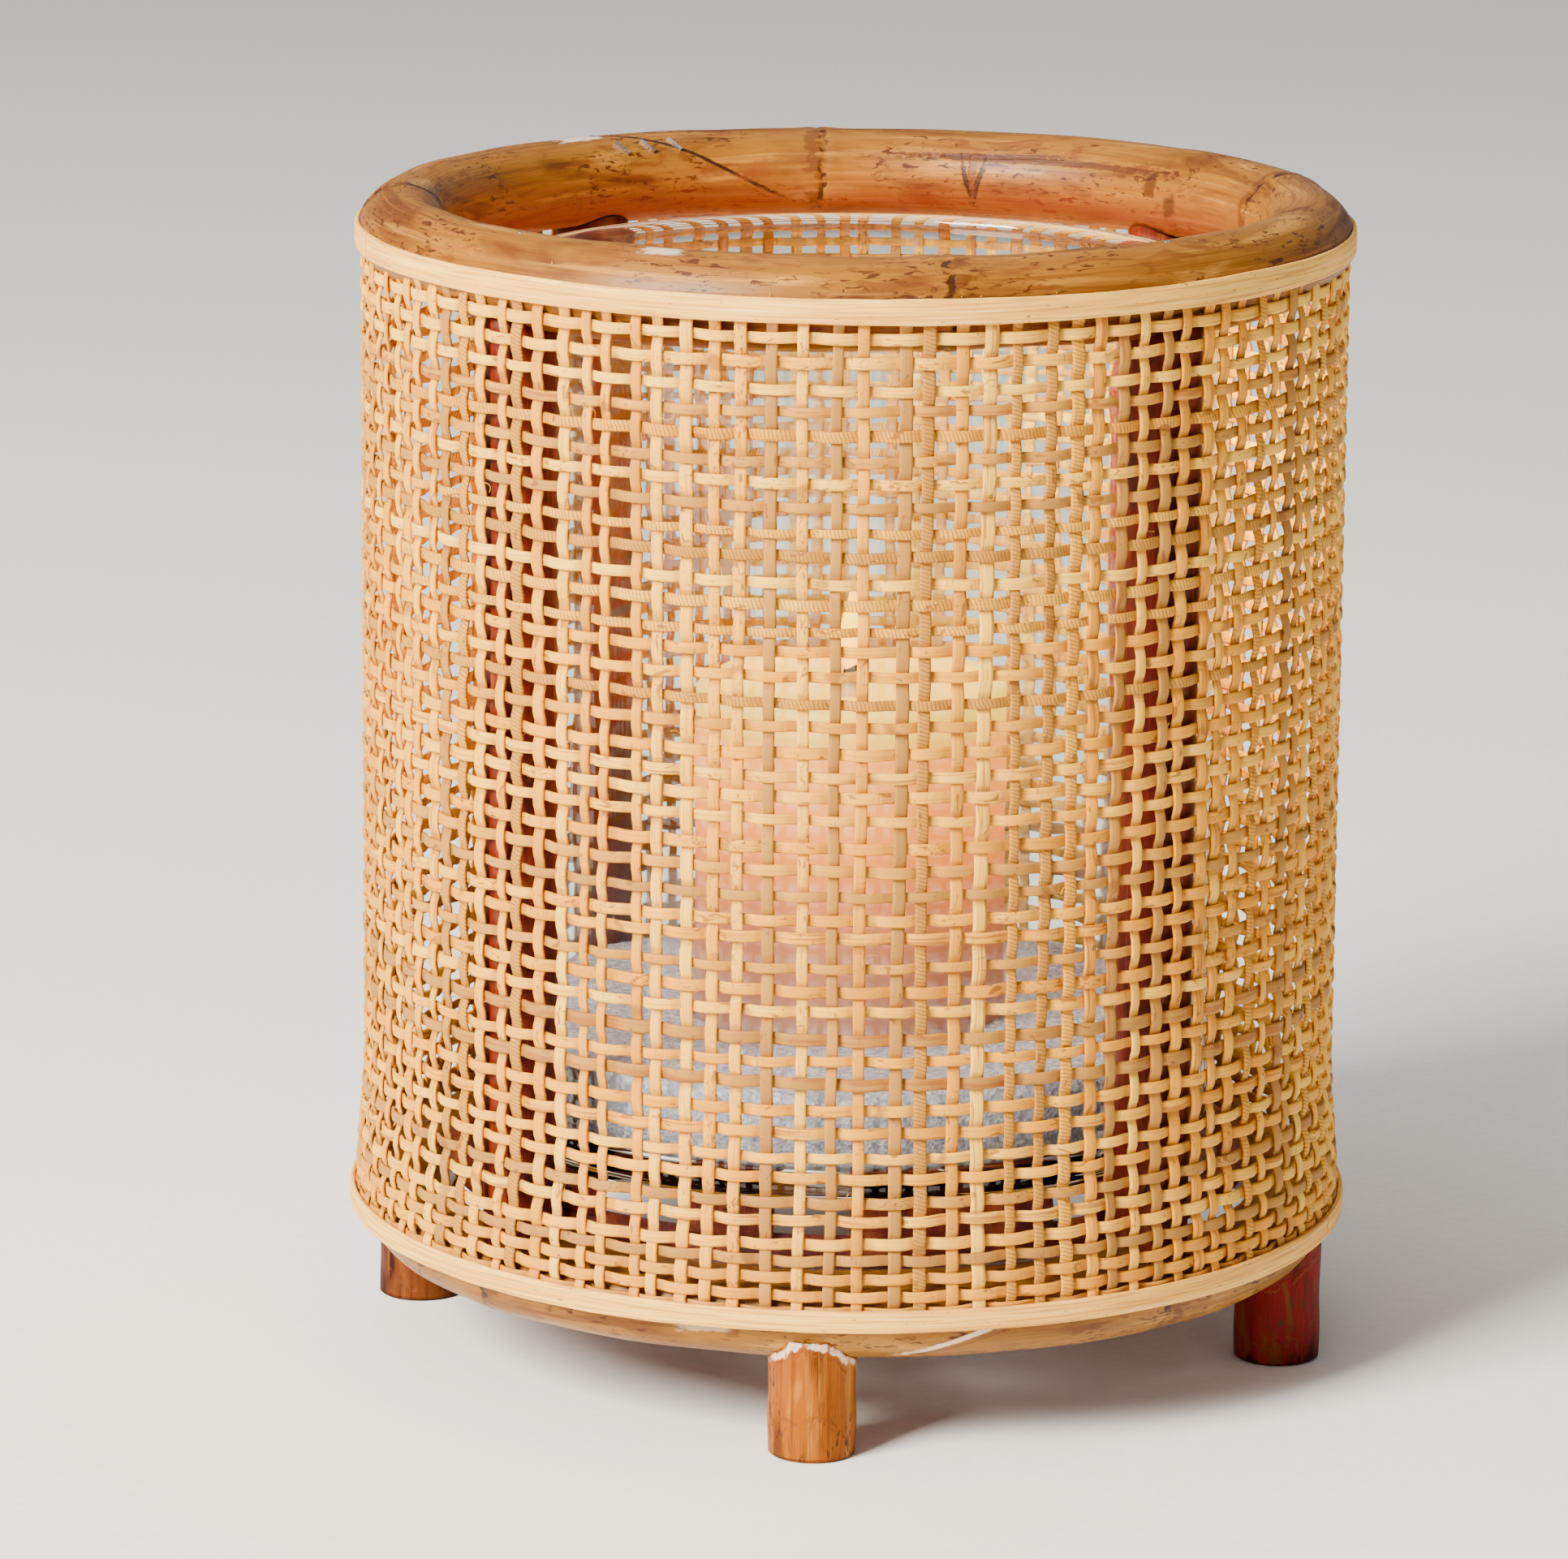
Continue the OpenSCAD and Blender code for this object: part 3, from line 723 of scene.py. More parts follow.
def row_heights(sizes, rng):
    """Heights of the woven rows, closer together just above the bottom strip."""
    start, end = WALL[0].z + 0.9 * MM, WALL[1].z - 3 * MM
    squeeze = 22 * MM  # height over which the lowest rows crowd together
    levels = np.linspace(start, end, 2000)
    density = 1 / (sizes.row_pitch * (1 - 0.4 * np.exp(-((levels - start) / squeeze) ** 2)))
    total = np.concatenate([[0], np.cumsum((density[1:] + density[:-1]) / 2 * np.diff(levels))])
    count = int(round(total[-1]))
    heights = np.interp(np.linspace(0, total[-1], count + 1), total, levels)
    heights[1:-1] += rng.uniform(-0.55, 0.55, count - 1) * MM
    return heights


def wall_radius(z):
    """Middle of the weave: straight above, and flaring out to the bottom hoop."""
    share = np.clip((z - LOW_STRIP[1].z) / FLARE_H, 0, 1)
    return LOWER_WALL_R + (UPPER_WALL_R - LOWER_WALL_R) * share * share * (3 - 2 * share)


def over_under(phase):
    """The wave of a strand over and under its neighbours, with flattened crests."""
    return np.tanh(1.7 * np.cos(math.pi * phase)) / math.tanh(1.7)


def strand_kinds(rng, count):
    """Shade and kind of each strand: 0 plain, 1 hatched, 2 speckled, 3 streaked."""
    tone = np.clip(rng.normal(0.62, 0.25, count), 0.05, 1.0)
    kind = rng.choice([0, 1, 2, 3], count, p=[0.66, 0.08, 0.13, 0.13])
    return tone, kind


def joined_strands(name, template, count, shape):
    """Copies of one template strand in a single mesh, each moved by shape(k, points)."""
    bm = bmesh.new()
    for _ in range(count):
        bm.from_mesh(template)
    mesh = bpy.data.meshes.new(name)
    bm.to_mesh(mesh)
    bm.free()
    mesh.shade_smooth()
    co = points(mesh).reshape(count, -1, 3)
    placed, straight, strand = [], [], []
    for k in range(count):
        where, grain, look = shape(k, co[k])
        placed.append(where)
        straight.append(grain)
        strand.append(look)
    move_points(mesh, np.concatenate(placed))
    write_vectors(mesh, "straight", np.concatenate(straight))
    write_vectors(mesh, "strand", np.concatenate(strand), "POINT")
    return linked(name, mesh)


class Weave:
    """Where every strand of the wall runs."""

    def __init__(self, sizes):
        rng = np.random.default_rng(SEED)
        self.sizes = sizes
        self.count = sizes.uprights // 2 * 2
        step = 360 / self.count
        jitter = rng.uniform(-0.17, 0.17, self.count) * step
        drift = waves(np.radians(np.arange(self.count) * step), SEED, 0.3, 5, 2) * step
        self.turns = (np.arange(self.count) + 0.5) * step - 180 + jitter + drift
        self.heights = row_heights(sizes, rng)
        self.row_looks = strand_kinds(rng, len(self.heights))
        self.up_looks = strand_kinds(rng, self.count)
        for looks, places, brown in ((self.row_looks, self.heights, BROWN_ROWS),
                                     (self.up_looks, self.turns, BROWN_UPRIGHTS)):
            for place, kind in brown:
                nearest = np.argmin(np.abs(places - place))
                looks[0][nearest], looks[1][nearest] = 0.1, kind
        self.row_widths = sizes.row_width * np.clip(rng.normal(1, 0.07, len(self.heights)), 0.82, 1.15)
        self.up_widths = sizes.upright_width * np.clip(rng.normal(1, 0.1, self.count), 0.76, 1.22)
        self.row_seeds = rng.uniform(0, 40, len(self.heights))
        self.up_seeds = rng.uniform(0, 40, self.count)
        self.up_ends = rng.uniform(-2.2, 0.4, self.count) * MM

    def row_swing(self):
        """How far a row's middle goes to each side of the wall's."""
        return WALL_T / 2 - self.sizes.strand_thickness / 2

    def row(self, j, co):
        """Shapes the template ring into row j."""
        turn, out, up = ring_places(co)
        out, up = squared(out, up)
        a = np.radians(turn)
        index = np.arange(-2, self.count + 2)
        spread = np.concatenate([self.turns[-2:] - 360, self.turns, self.turns[:2] + 360])
        phase = np.interp(turn, spread, index) + j
        half = self.row_widths[j] / 2 * (1 + waves(a, SEED + j, 0.03, 6, 5))
        z = self.heights[j] + waves(a, SEED + 100 + j, 0.36 * MM, 6, 2)
        z += waves(a, SEED + 300 + j, 0.13 * MM, 8, 20)
        roll = waves(a, SEED + 200 + j, 0.09, 6, 8)
        swing = self.row_swing() * over_under(phase)
        height = z + up * half
        radius = wall_radius(height) + swing + out * self.sizes.strand_thickness / 2
        radius += up * half * roll
        seed = self.row_seeds[j]
        corners, faces = self.ring_corners
        along = np.radians(unrolled(turn, corners, faces, -180.0)) * UPPER_WALL_R
        grain = np.stack([along + seed, (up * half)[corners],
                          (out * self.sizes.strand_thickness / 2 + seed)[corners]], 1)
        tone, kind = self.row_looks[0][j], self.row_looks[1][j]
        # The third number, the over-and-under wave, sets the painted shade where a strand dips under
        # another.
        look = np.stack([np.full_like(a, tone), np.full_like(a, kind), over_under(phase)], 1)
        return ring_point(turn, radius, height), grain, look

    def upright(self, i, co):
        """Shapes the template strip into upright i."""
        share, across, out = co[:, 2], co[:, 0] / SECTION, co[:, 1] / SECTION
        out, across = squared(out, across)
        low, high = WALL[0].z, WALL[1].z + self.up_ends[i]
        z = low + share * (high - low)
        a = share * math.pi
        phase = np.interp(z, self.heights, np.arange(len(self.heights))) + i + 1
        half = self.up_widths[i] / 2 * (1 + waves(a, SEED + 500 + i, 0.03, 5, 2))
        sway = waves(a, SEED + 700 + i, 0.42 * MM, 5, 1) + waves(a, SEED + 800 + i, 0.1 * MM, 6, 12)
        roll = waves(a, SEED + 900 + i, 0.08, 5, 4)
        thick = self.sizes.strand_thickness
        swing = self.row_swing() * 0.75 * over_under(phase)  # stiffer than the rows
        radius = wall_radius(z) + swing + out * thick / 2 + across * half * roll
        turn = self.turns[i] + np.degrees((sway + across * half) / wall_radius(z))
        seed = self.up_seeds[i]
        grain = np.stack([z + seed, across * half, out * thick / 2 + seed], 1)
        tone, kind = self.up_looks[0][i], self.up_looks[1][i]
        # The third number, the over-and-under wave, sets the painted shade where a strand dips under
        # another.
        look = np.stack([np.full_like(a, tone), np.full_like(a, kind), over_under(phase)], 1)
        return ring_point(turn, radius, z), grain[self.strip_corners[0]], look


# ---------------------------------------------------------------- operators

NODE_RINGS = (11, 104, 185, 272)
LOW_NODE_RINGS = (-47, 40, 131, 226)


def node_marks(turns, turn_range):
    """Marks of a hoop's node rings: a dark ragged line with a brown zone on one side."""
    marks = []
    for turn in turns:
        turn = (turn - turn_range) % 360 + turn_range
        marks.append((turn + 4.2, 90, 7.5, RING, 0, "#7A4A14", 0.5))
        marks.append((turn + 1.2, 90, 2.9, RING, 0, "#552806", 0.7))
        marks.append((turn, 90, 0.9, RING, 0, "#2C1205", 0.85))
    return marks


class LANTERN_OT_hoops(bpy.types.Operator):
    """Bends the two varnished rattan hoops"""

    bl_idname = "lantern.hoops"
    bl_label = "Hoops"

    def execute(self, context):
        colours = context.scene.lantern_colours
        rings = bent_pole("top_hoop_pole", TOP_R, TOP_POLE, TOP_Z, TOP_SCARF, TOP_SCARF_RUN, 60,
                          NODE_RINGS, (206, 211, 215, *POSTS.values()), SEED + 1,
                          (2.6 * MM, -0.7 * MM))
        marks = node_marks(NODE_RINGS, 60) + [
            (152, 149, 44, 0.9, 0.0, "#4A210C", 0.85), (158, 146, 20, 0.7, 0.05, "#4A210C", 0.7),
            (163, 180, 1.7, 2.2, -2.7, "#2E1508", 0.9), (161, 180, 1.7, 2.2, 2.7, "#2E1508", 0.9),
            (162, 172, 1.2, 5.0, 0.0, "#5A2B10", 0.7),
            (204.8, 145, 26, 0.55, -0.47, "#2C1408", 0.95),
            # The pale cream spots on the crown at turns 221 and 336 are painted highlights.
            (221, 88, 6, 3.0, 0.0, "#F0DCC0", 0.75), (336, 78, 4.5, 2.0, 0.1, "#EFD9BA", 0.6),
            (131, 165, 2.0, 3.0, 0.0, "#3A1C0C", 0.75), (127, 190, 2.6, 2.6, 0.4, "#3A1C0C", 0.7),
            (196, 170, 5, 2.4, 0.2, "#7A3A14", 0.6)]
        # The last number is the share of painted candle glow and shade on the pole's inside and
        # underside.
        finish = pole_material("rattan pole, clear varnished", colours.pole_rattan,
                               linear("#5E3006"), linear("#C88E38"), marks, TOP_POLE, TOP_R, 0.9)
        stained(rings, finish, "frame", "varnished_rattan", "top_hoop")
        ring = bent_pole("bottom_hoop_pole", LOW_R, LOW_POLE, LOW_Z, LOW_SCARF, LOW_SCARF_RUN, 180,
                         LOW_NODE_RINGS, (-6, *POSTS.values(), *FEET.values()), SEED + 9)
        marks = node_marks(LOW_NODE_RINGS, 180) + [
            (374, -20, 13, 0.8, 0.42, "#F2DDBC", 0.85), (375, -26, 12, 0.45, 0.42, "#7A4A20", 0.7),
            (344, -12, 6, 1.4, 0.1, "#EFD9BA", 0.5)]
        # The 0.3 is the share of painted candle glow and shade on the pole's inside and underside.
        finish = pole_material("rattan pole, thinly varnished", linear("#926014"),
                               linear("#6A3E0A"), linear("#C4903C"), marks, LOW_POLE, LOW_R, 0.3,
                               0.08)
        stained(ring, finish, "frame", "varnished_rattan", "bottom_hoop")
        return {"FINISHED"}


class LANTERN_OT_bindings(bpy.types.Operator):
    """Wraps the two split cane binding strips round the wall"""

    bl_idname = "lantern.bindings"
    bl_label = "Binding strips"

    def execute(self, context):
        finish = binding_material(context.scene.lantern_colours)
        for name, box, butt, seed in (("top_binding", TOP_STRIP, TOP_BUTT_TURN, SEED + 20),
                                      ("bottom_binding", LOW_STRIP, LOW_BUTT_TURN, SEED + 30)):
            piece = binding_strip(name + "_strip", box, butt, seed)
            stained(piece, finish, "frame", "split_cane_binding", name)
        return {"FINISHED"}


class LANTERN_OT_weave(bpy.types.Operator):
    """Weaves the wall, every strand over and under its neighbours"""

    bl_idname = "lantern.weave"
    bl_label = "Woven wall"

    def execute(self, context):
        weave = Weave(context.scene.lantern_sizes)
        finish = woven_cane_material(context.scene.lantern_colours)
        ring = meshed(tube_ring(8, weave.count * 5), "ring template")
        weave.ring_corners = corner_points(ring)
        bm = bmesh.new()
        bmesh.ops.create_circle(bm, segments=8, radius=SECTION, cap_ends=False)
        bmesh.ops.rotate(bm, verts=bm.verts, cent=(0, 0, 0),
                         matrix=Matrix.Rotation(math.pi / 8, 3, "Z"))
        steps = len(weave.heights) * 5
        bmesh.ops.spin(bm, geom=list(bm.verts) + list(bm.edges), cent=(0, 0, 0), axis=(0, 0, 1),
                       dvec=(0, 0, 1 / steps), angle=0, steps=steps, use_duplicate=False)
        bmesh.ops.holes_fill(bm, edges=[e for e in bm.edges if e.is_boundary], sides=0)
        strip = meshed(bm, "strip template")
        weave.strip_corners = corner_points(strip)
        pieces = []
        for made, template, total, shape in (
                ("woven_rows", ring, len(weave.heights), weave.row),
                ("woven_uprights", strip, weave.count, weave.upright)):
            parts = 3
            share = math.ceil(total / parts)
            for part in range(parts):
                first = part * share
                count = min(share, total - first)
                pieces.append(joined_strands(
                    f"{made}_{part + 1}", template, count,
                    lambda k, co, first=first, shape=shape: shape(first + k, co)))
        for piece in pieces:
            stained(piece, finish, "frame", "woven_cane")
        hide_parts("woven_wall")
        return {"FINISHED"}


class LANTERN_OT_loose_fibres(bpy.types.Operator):
    """Adds the curled fibres that stand off the cane"""

    bl_idname = "lantern.loose_fibres"
    bl_label = "Loose fibres"

    def execute(self, context):
        rng = np.random.default_rng(SEED + 60)
        bm = bmesh.new()
        for k in range(context.scene.lantern_sizes.fibres):
            turn = rng.uniform(-180, 180)
            edge = rng.random()
            if edge < 0.16:
                z, radius = TOP_STRIP[1].z - 0.3 * MM, TOP_R + TOP_POLE * 0.96
            elif edge < 0.3:
                z, radius = LOW_STRIP[1].z, LOWER_WALL_R + 0.6 * MM
            else:
                z = rng.uniform(LOW_STRIP[1].z, TOP_STRIP[0].z)
                radius = float(wall_radius(z)) + 0.75 * MM
            made = bmesh.ops.create_circle(bm, segments=4, radius=rng.uniform(0.06, 0.13) * MM)
            verts = made["verts"]
            edges = list({e for v in verts for e in v.link_edges})
            curl = rng.uniform(1.2, 3.6) * MM
            spun = bmesh.ops.spin(
                bm, geom=verts + edges, cent=(curl, 0, 0), axis=(0, 1, 0),
                dvec=(0, rng.uniform(0.02, 0.22) * MM, 0), angle=rng.uniform(0.8, 3.4), steps=9,
                use_duplicate=False)
            whole = set(verts) | {g for g in spun["geom_last"] if isinstance(g, bmesh.types.BMVert)}
            todo = list(whole)
            while todo:
                for e in todo.pop().link_edges:
                    for v in e.verts:
                        if v not in whole:
                            whole.add(v)
                            todo.append(v)
            whole = list(whole)
            spin = Matrix.Rotation(rng.uniform(0, 2 * math.pi), 3, "Y")
            tip = Matrix.Rotation(rng.uniform(-1.2, 0.1), 3, "X")
            bmesh.ops.rotate(bm, verts=whole, cent=(0, 0, 0), matrix=spin @ tip)
            bmesh.ops.translate(bm, verts=whole, vec=(0, -radius, z))
            bmesh.ops.rotate(bm, verts=whole, cent=(0, 0, 0),
                             matrix=Matrix.Rotation(math.radians(turn), 3, "Z"))
        bmesh.ops.holes_fill(bm, edges=[e for e in bm.edges if e.is_boundary], sides=4)
        mesh = meshed(bm, "loose_fibres")
        co = points(mesh)
        write_vectors(mesh, "straight", co, "POINT")
        write_vectors(mesh, "strand", np.broadcast_to((0.75, 0, 0), co.shape), "POINT")
        stained(linked("loose_fibres", mesh), bpy.data.materials["peeled cane, unvarnished"],
                "frame", "woven_cane")
        return {"FINISHED"}


class LANTERN_OT_posts(bpy.types.Operator):
    """Cuts the four posts to fit between the hoops"""

    bl_idname = "lantern.posts"
    bl_label = "Posts"

    def execute(self, context):
        colours = context.scene.lantern_colours
        marks = [(0.10, 0, 0.8, RING, 0, "#1E0A05", 0.9), (0.105, 0, 5, RING, 0, "#3A1208", 0.5),
                 (0.205, 0, 0.8, RING, 0, "#1E0A05", 0.8)]
        marks = [(math.degrees(place), *rest) for place, *rest in marks]
        finish = pole_material("rattan pole, dark stained", colours.dark_rattan,
                               linear("#3A0E06"), linear("#9C4522"), marks, POST_POLE, 1.0)
        radius = (TOP_R + LOW_R) / 2
        for seed, (name, turn) in enumerate(POSTS.items()):
            piece = upright_pole("post_" + name + "_pole", turn, radius, POST_POLE,
                                 over_hoop(LOW_R, LOW_POLE, LOW_Z, 1, POST_SADDLE),
                                 over_hoop(TOP_R, TOP_POLE, TOP_Z, -1, POST_SADDLE), seed + 1)
            stained(piece, finish, "frame", "dark_rattan", "post_" + name)
        return {"FINISHED"}


class LANTERN_OT_feet(bpy.types.Operator):
    """Cuts the four feet, saddled to the bottom hoop"""

    bl_idname = "lantern.feet"
    bl_label = "Feet"

    def execute(self, context):
        lips = {"front": "#F3DCC6", "right": "#6A2A14", "back": "#C99A72", "left": "#8E5A34"}
        palettes = {"front": ("#944E04", "#5E2E02", "#C8862C"),
                    "right": ("#760B06", "#300202", "#8E240A"),
                    "back": ("#A8642A", "#6E3412", "#C98B4E"),
                    "left": ("#602E0C", "#2A0802", "#C88A4C")}
        low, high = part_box("foot_front")
        pole = (high.x - low.x) / 2
        for seed, (name, turn) in enumerate(FEET.items()):
            body, deep, pale = (linear(code) for code in palettes[name])
            marks = [(math.degrees(1.0 * MM), 90, 1.1, RING, 0, lips[name], 0.7),
                     (math.degrees(3.3 * MM), 90, 0.5, RING, 0, "#7A4218", 0.5),
                     (math.degrees(19 * MM), 90, 0.6, RING, 0, "#6E3A14", 0.35)]
            if name == "right":
                marks.append((math.degrees(27 * MM), 90, 4, RING, 0, "#120403", 0.8))
            finish = pole_material("rattan foot, " + name, body, deep, pale, marks, pole, 1.0, 0, 0.03,
                                   0.08)
            piece = upright_pole("foot_" + name + "_pole", turn, LOW_R, pole,
                                 lambda x, away: np.zeros_like(x),
                                 over_hoop(LOW_R, LOW_POLE, LOW_Z, -1, FOOT_SADDLE), seed + 11, 1.1 * MM)
            stained(piece, finish, "frame", "rattan_foot", "foot_" + name)
        return {"FINISHED"}


class LANTERN_OT_base(bpy.types.Operator):
    """Stains the base ring and slats"""

    bl_idname = "lantern.base"
    bl_label = "Base ring and slats"

    def execute(self, context):
        stained_nodes(base_material(context.scene.lantern_colours),
                      "base_ring", *[f"slat_{k}" for k in range(1, 6)])
        return {"FINISHED"}


class LANTERN_OT_fastenings(bpy.types.Operator):
    """Gives the nails, brads, pins and staples their bright steel"""

    bl_idname = "lantern.fastenings"
    bl_label = "Fastenings"

    def execute(self, context):
        stained_nodes(steel_material(), "top_hoop_staples", "bottom_hoop_staples",
                      "top_binding_pins", "bottom_binding_pins", "post_nails", "foot_nails",
                      "base_ring_brads", "slat_brads")
        return {"FINISHED"}


class LANTERN_OT_glass(bpy.types.Operator):
    """Blows the glass cylinder with its beaded rim and thick bottom"""

    bl_idname = "lantern.glass"
    bl_label = "Glass cylinder"

    def execute(self, context):
        low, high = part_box("glass_cylinder")
        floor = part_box("sand_bed")[0].z
        radius, wall, bead, heel = high.x, 4 * MM, 2.4 * MM, 4 * MM
        middle = radius - wall / 2
        inner = radius - wall
        profile = [(0, low.z), (0.5 * radius, low.z), (0.9 * radius, low.z)]
        profile += arc((radius - heel, low.z + heel), heel, -90, 0, 8)
        profile += [(radius, z) for z in np.linspace(low.z + 8 * MM, high.z - 2.5 * bead, 14)]
        profile += arc((middle, high.z - bead), bead, -20, 200, 18)
        profile += [(inner, z) for z in np.linspace(high.z - 2.5 * bead, floor + 8 * MM, 14)]
        profile += arc((inner - 3 * MM, floor + 3 * MM), 3 * MM, 0, -90, 8)
        profile += [(0.6 * radius, floor), (0.3 * radius, floor), (0, floor)]
        piece = lathed("glass_cylinder_blown", profile, 192)
        piece.visible_shadow = False
        stained(piece, glass_material(), "glass", "clear_glass", "glass_cylinder")
        return {"FINISHED"}


class LANTERN_OT_sand(bpy.types.Operator):
    """Pours the bed of sand"""

    bl_idname = "lantern.sand"
    bl_label = "Sand bed"

    def execute(self, context):
        low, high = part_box("sand_bed")
        outer = high.x - 0.25 * MM
        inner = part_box("candle")[1].x + 0.15 * MM
        bm = bmesh.new()
        top = [(r, high.z) for r in np.linspace(inner, outer, 30)]
        corner = [(outer, high.z - 4 * MM), (outer, low.z + 3.2 * MM), (outer - 3 * MM, low.z + 0.2 * MM)]
        profile = [(inner, low.z + 0.2 * MM), *top, *corner]
        verts = [bm.verts.new((r, 0, z)) for r, z in profile]
        edges = [bm.edges.new(pair) for pair in zip(verts, verts[1:] + verts[:1])]
        bmesh.ops.spin(bm, geom=verts + edges, cent=(0, 0, 0), axis=(0, 0, 1), dvec=(0, 0, 0),
                       angle=2 * math.pi, steps=220, use_merge=True, use_duplicate=False)
        piece = finished(bm, "sand_bed_grains")
        co = points(piece.data)
        rng = np.random.default_rng(SEED + 70)
        surface = co[:, 2] > high.z - 1 * MM
        a, r = np.arctan2(co[:, 1], co[:, 0]), np.hypot(co[:, 0], co[:, 1])
        lumps = waves(a, SEED + 71, 0.5 * MM, 6, 2) * np.sin(r * 90) + rng.normal(0, 0.12 * MM, len(co))
        co[surface, 2] += lumps[surface] - 0.3 * MM
        move_points(piece.data, co)
        stained(piece, sand_material(context.scene.lantern_colours), "glass", "pale_sand", "sand_bed")
        return {"FINISHED"}


class LANTERN_OT_candle(bpy.types.Operator):
    """Casts the pillar candle with its melt pool"""

    bl_idname = "lantern.candle"
    bl_label = "Candle"

    def execute(self, context):
        low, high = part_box("candle")
        radius, rim, pool, edge = high.x, 5 * MM, 4 * MM, 1.8 * MM
        basin = radius - rim
        profile = [(0, low.z), (0.6 * radius, low.z), (radius - 1 * MM, low.z), (radius, low.z + 1 * MM)]
        profile += [(radius, z) for z in np.linspace(low.z + 6 * MM, high.z - 4 * MM, 22)]
        profile += arc((radius - edge, high.z - edge), edge, 0, 90, 7)
        profile += arc((basin + 1.2 * MM, high.z - 1.2 * MM), 1.2 * MM, 90, 180, 6)
        profile += arc((basin - 2.5 * MM, high.z - pool + 2.5 * MM), 2.5 * MM, 0, -90, 6)
        profile += [(r, high.z - pool) for r in np.linspace(basin - 5 * MM, 0, 12)]
        piece = lathed("candle_pillar", profile, 160)
        co = points(piece.data)
        a, r = np.arctan2(co[:, 1], co[:, 0]), np.hypot(co[:, 0], co[:, 1])
        near_top = np.clip((co[:, 2] - high.z + 14 * MM) / (14 * MM), 0, 1) ** 2
        on_rim = near_top * (r > basin - 1 * MM)
        co[:, 2] += on_rim * (waves(a, SEED + 80, 0.55 * MM, 5, 1) - 0.3 * MM)
        size = 1 + waves(a + co[:, 2] * 30, SEED + 81, 0.0016, 6, 3) * (r > 0.9 * radius)
        co[:, :2] *= size[:, None]
        move_points(piece.data, co)
        stained(piece, wax_material(context.scene.lantern_colours, high.z, 82 * MM), "candle",
                "candle_wax", "candle")
        return {"FINISHED"}


class LANTERN_OT_flame(bpy.types.Operator):
    """Makes the charred wick and its flame"""

    bl_idname = "lantern.flame"
    bl_label = "Wick and flame"

    def execute(self, context):
        low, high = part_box("wick")
        radius = high.x
        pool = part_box("candle")[1].z - 4 * MM
        profile = [(0, low.z), (radius * 0.8, low.z)]
        profile += [(radius * (1 - 0.25 * s), low.z + s * (high.z - low.z))
                    for s in np.linspace(0.05, 0.94, 24)]
        profile += [(radius * 0.4, high.z), (0, high.z)]
        piece = lathed("wick_braid", profile, 20)
        co = points(piece.data)
        share = np.clip((co[:, 2] - pool) / (high.z - pool), 0, 1)
        a = np.arctan2(co[:, 1], co[:, 0])
        braid = 1 + 0.1 * np.sin(3 * a + co[:, 2] * 4500)
        co[:, :2] *= braid[:, None]
        co[:, 0] += 0.7 * MM * share ** 2
        move_points(piece.data, co)
        stained(piece, wick_material(pool, high.z), "candle", "charred_wick", "wick")
        start = high.z - 5 * MM
        height = context.scene.lantern_sizes.flame_height
        widest = 3.5 * MM
        profile = [(0, start)]
        profile += [(widest * math.sin(math.pi * s ** 0.75) ** 0.9 * (1 - 0.35 * s),
                     start + s * height) for s in np.linspace(0, 1, 30)[1:-1]]
        profile += [(0, start + height)]
        flame = lathed("flame", profile, 40)
        co = points(flame.data)
        lean = np.clip((co[:, 2] - start) / height, 0, 1)
        co[:, 0] += 0.4 * MM * lean ** 2
        move_points(flame.data, co)
        flame.visible_shadow = False
        stained(flame, flame_material(start, start + height), "candle", None)
        glow = bpy.data.lights.new("candle light", "POINT")
        glow.energy = 0.7
        glow.color = linear("#FFAA30")[:3]
        glow.shadow_soft_size = 6 * MM
        lamp = linked("candle light", glow)
        lamp.location = (0, 0, start + 0.6 * height)
        lamp.visible_transmission = False
        lamp.visible_glossy = False
        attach(lamp, "candle")
        return {"FINISHED"}


CAMERA_PLACE = (0, -1.891, 0.5616)
CAMERA_LENS = 182.2  # mm
CAMERA_DOWN, CAMERA_PAN, CAMERA_ROLL = 12.65, 0.49, 0.45  # degrees


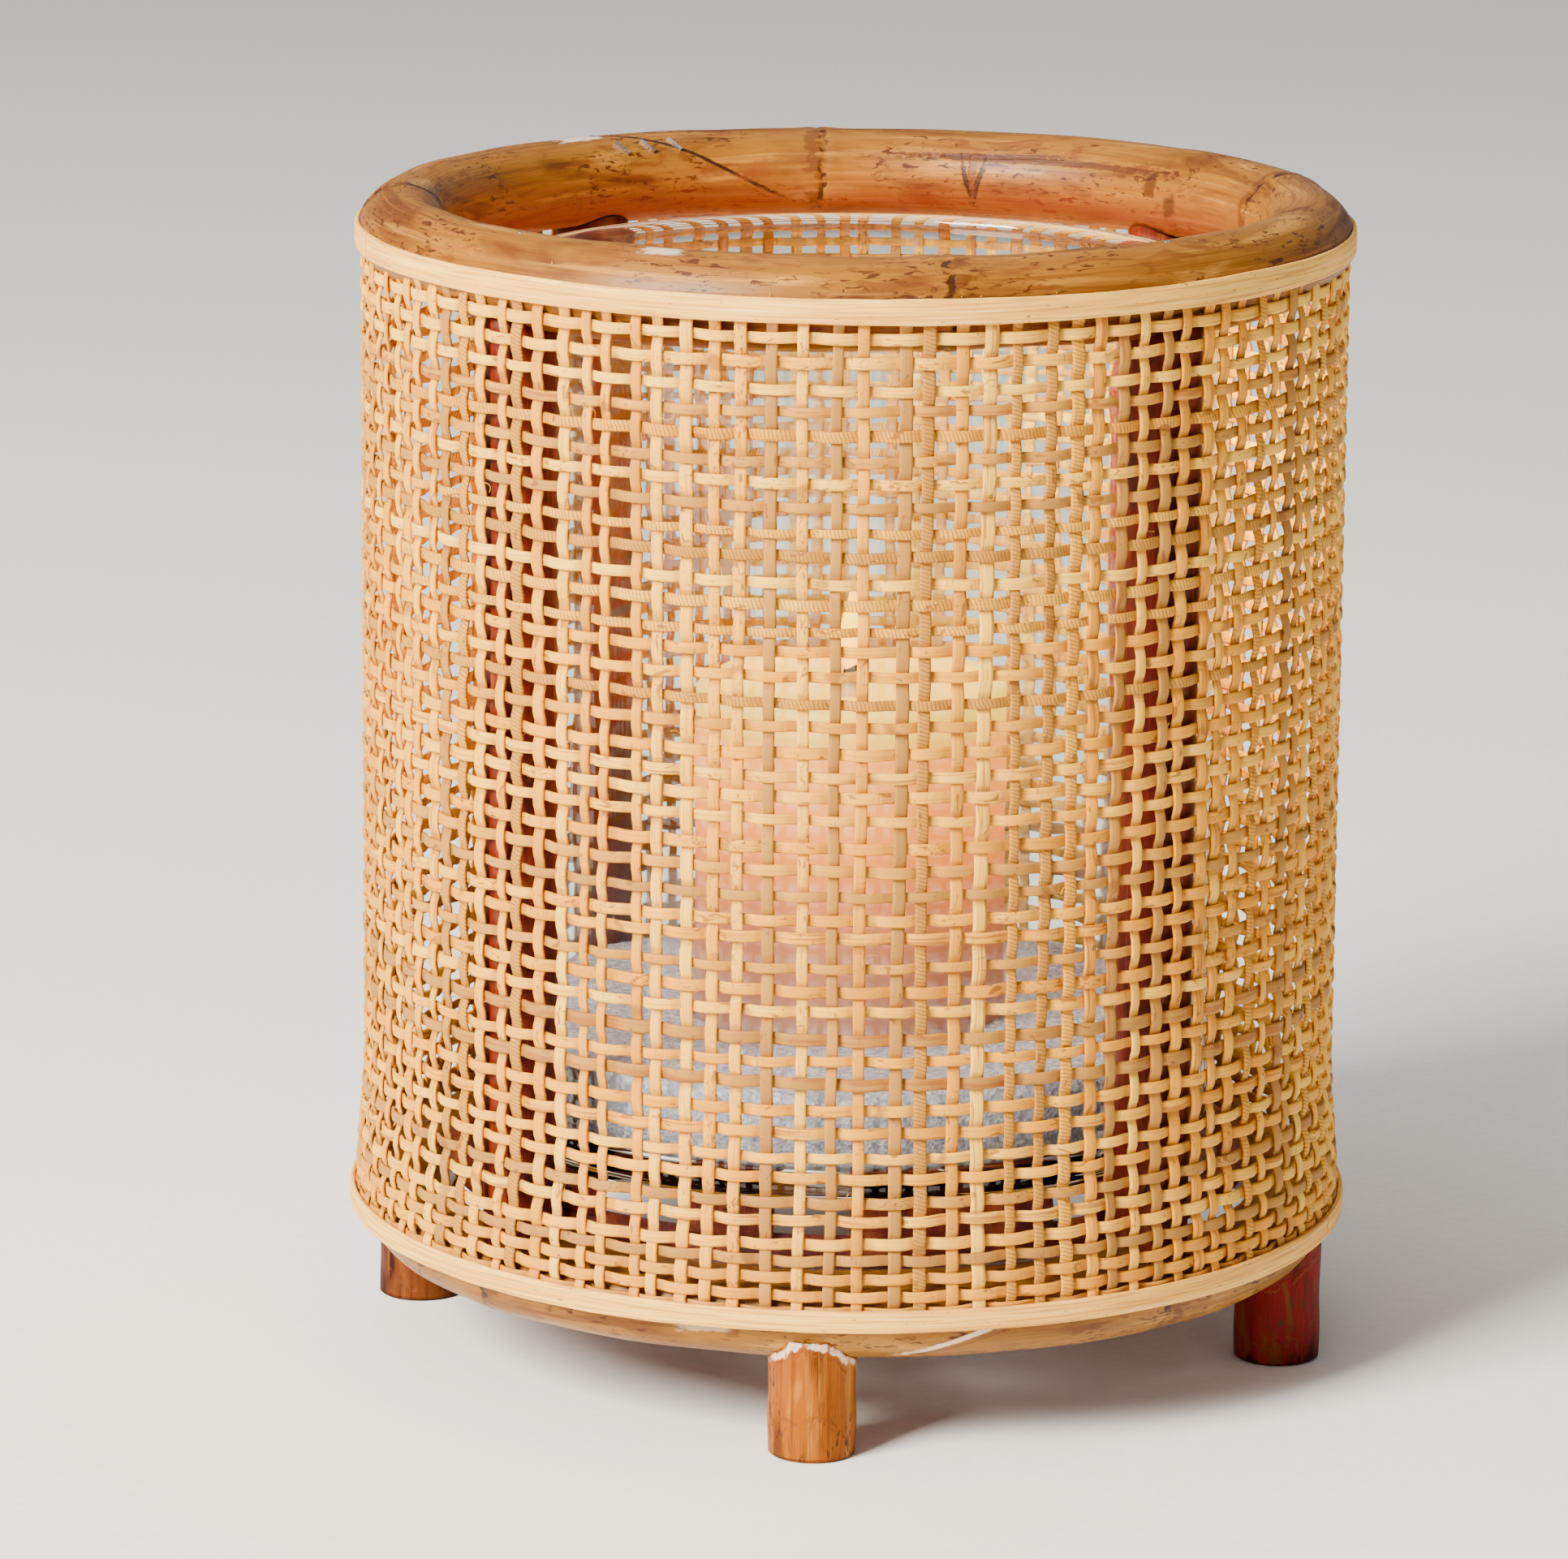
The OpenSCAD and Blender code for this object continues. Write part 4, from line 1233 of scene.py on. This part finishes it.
class LANTERN_OT_stage(bpy.types.Operator):
    """Sets the pale floor, the soft lights and the camera"""

    bl_idname = "lantern.stage"
    bl_label = "Floor, lights and camera"

    def execute(self, context):
        scene = context.scene
        bm = bmesh.new()
        bmesh.ops.create_grid(bm, x_segments=24, y_segments=24, size=9)
        floor = finished(bm, "floor")
        material, tree, shader = new_material("pale studio board")
        coords = add_node(tree, "ShaderNodeTexCoord").outputs["Object"]
        tooth = noise(tree, coords, (3, 3, 3), 3)
        share = add_node(tree, RANGE, [tooth, 0.3, 0.7], **SMOOTH)
        rough = add_node(tree, RANGE, [tooth, 0.3, 0.7, 0.75, 0.9], **SMOOTH)
        base = painted(tree, linear("#FBFAF8"), (share, 1.0, "#F6F4F1"))
        wire(tree, shader, {"Base Color": base, "Roughness": rough})
        floor.data.materials.append(material)
        world = bpy.data.worlds.new("studio")
        scene.world = world
        world.use_nodes = True
        wire(world.node_tree, world.node_tree.nodes["Background"],
             {"Color": linear("#F3F1EE"), "Strength": 0.4})
        middle = Vector((0, 0, 0.14))
        for name, place, size, energy, colour in (
                ("key softbox", (-1.75, -1.75, 1.7), 1.2, 335, "#FFF8EC"),
                ("fill softbox", (1.9, -1.5, 0.9), 1.8, 1, "#FFF0DC"),
                ("top softbox", (-0.2, 0.7, 2.1), 1.5, 9, "#FFFFFF")):
            light = bpy.data.lights.new(name, "AREA")
            light.shape = "SQUARE"
            light.size = size
            light.energy = energy
            light.color = linear(colour)[:3]
            lamp = linked(name, light)
            lamp.location = place
            lamp.rotation_euler = (middle - Vector(place)).to_track_quat("-Z", "Y").to_euler()
        camera = bpy.data.cameras.new("camera")
        camera.lens = CAMERA_LENS
        camera.sensor_width = 36
        camera.clip_start, camera.clip_end = 0.1, 30
        eye = linked("camera", camera)
        eye.location = CAMERA_PLACE
        aim = (Matrix.Rotation(math.radians(CAMERA_PAN), 4, "Z")
               @ Matrix.Rotation(math.radians(90 - CAMERA_DOWN), 4, "X")
               @ Matrix.Rotation(math.radians(CAMERA_ROLL), 4, "Z"))
        eye.rotation_euler = aim.to_euler()
        scene.camera = eye
        return {"FINISHED"}


OPERATORS = (LANTERN_OT_stage, LANTERN_OT_hoops, LANTERN_OT_bindings, LANTERN_OT_weave,
             LANTERN_OT_loose_fibres, LANTERN_OT_posts, LANTERN_OT_feet, LANTERN_OT_base,
             LANTERN_OT_fastenings, LANTERN_OT_glass, LANTERN_OT_sand, LANTERN_OT_candle,
             LANTERN_OT_flame)


class LANTERN_PT_panel(bpy.types.Panel):
    """Lists the lantern's sizes, colours and pieces"""

    bl_label = "Candle lantern"
    bl_idname = "LANTERN_PT_panel"
    bl_space_type = "VIEW_3D"
    bl_region_type = "UI"
    bl_category = "Lantern"

    def draw(self, context):
        for group in (context.scene.lantern_sizes, context.scene.lantern_colours):
            for name in group.__annotations__:
                self.layout.prop(group, name)
        for operator in OPERATORS:
            self.layout.operator(operator.bl_idname)


CLASSES = (LanternSizes, LanternColours, *OPERATORS, LANTERN_PT_panel)


def register():
    for item in CLASSES:
        bpy.utils.register_class(item)
    bpy.types.Scene.lantern_sizes = bpy.props.PointerProperty(type=LanternSizes)
    bpy.types.Scene.lantern_colours = bpy.props.PointerProperty(type=LanternColours)


def unregister():
    del bpy.types.Scene.lantern_colours
    del bpy.types.Scene.lantern_sizes
    for item in reversed(CLASSES):
        bpy.utils.unregister_class(item)


def main():
    register()
    for operator in OPERATORS:
        group, name = operator.bl_idname.split(".")
        getattr(getattr(bpy.ops, group), name)()


if __name__ == "__main__":
    main()
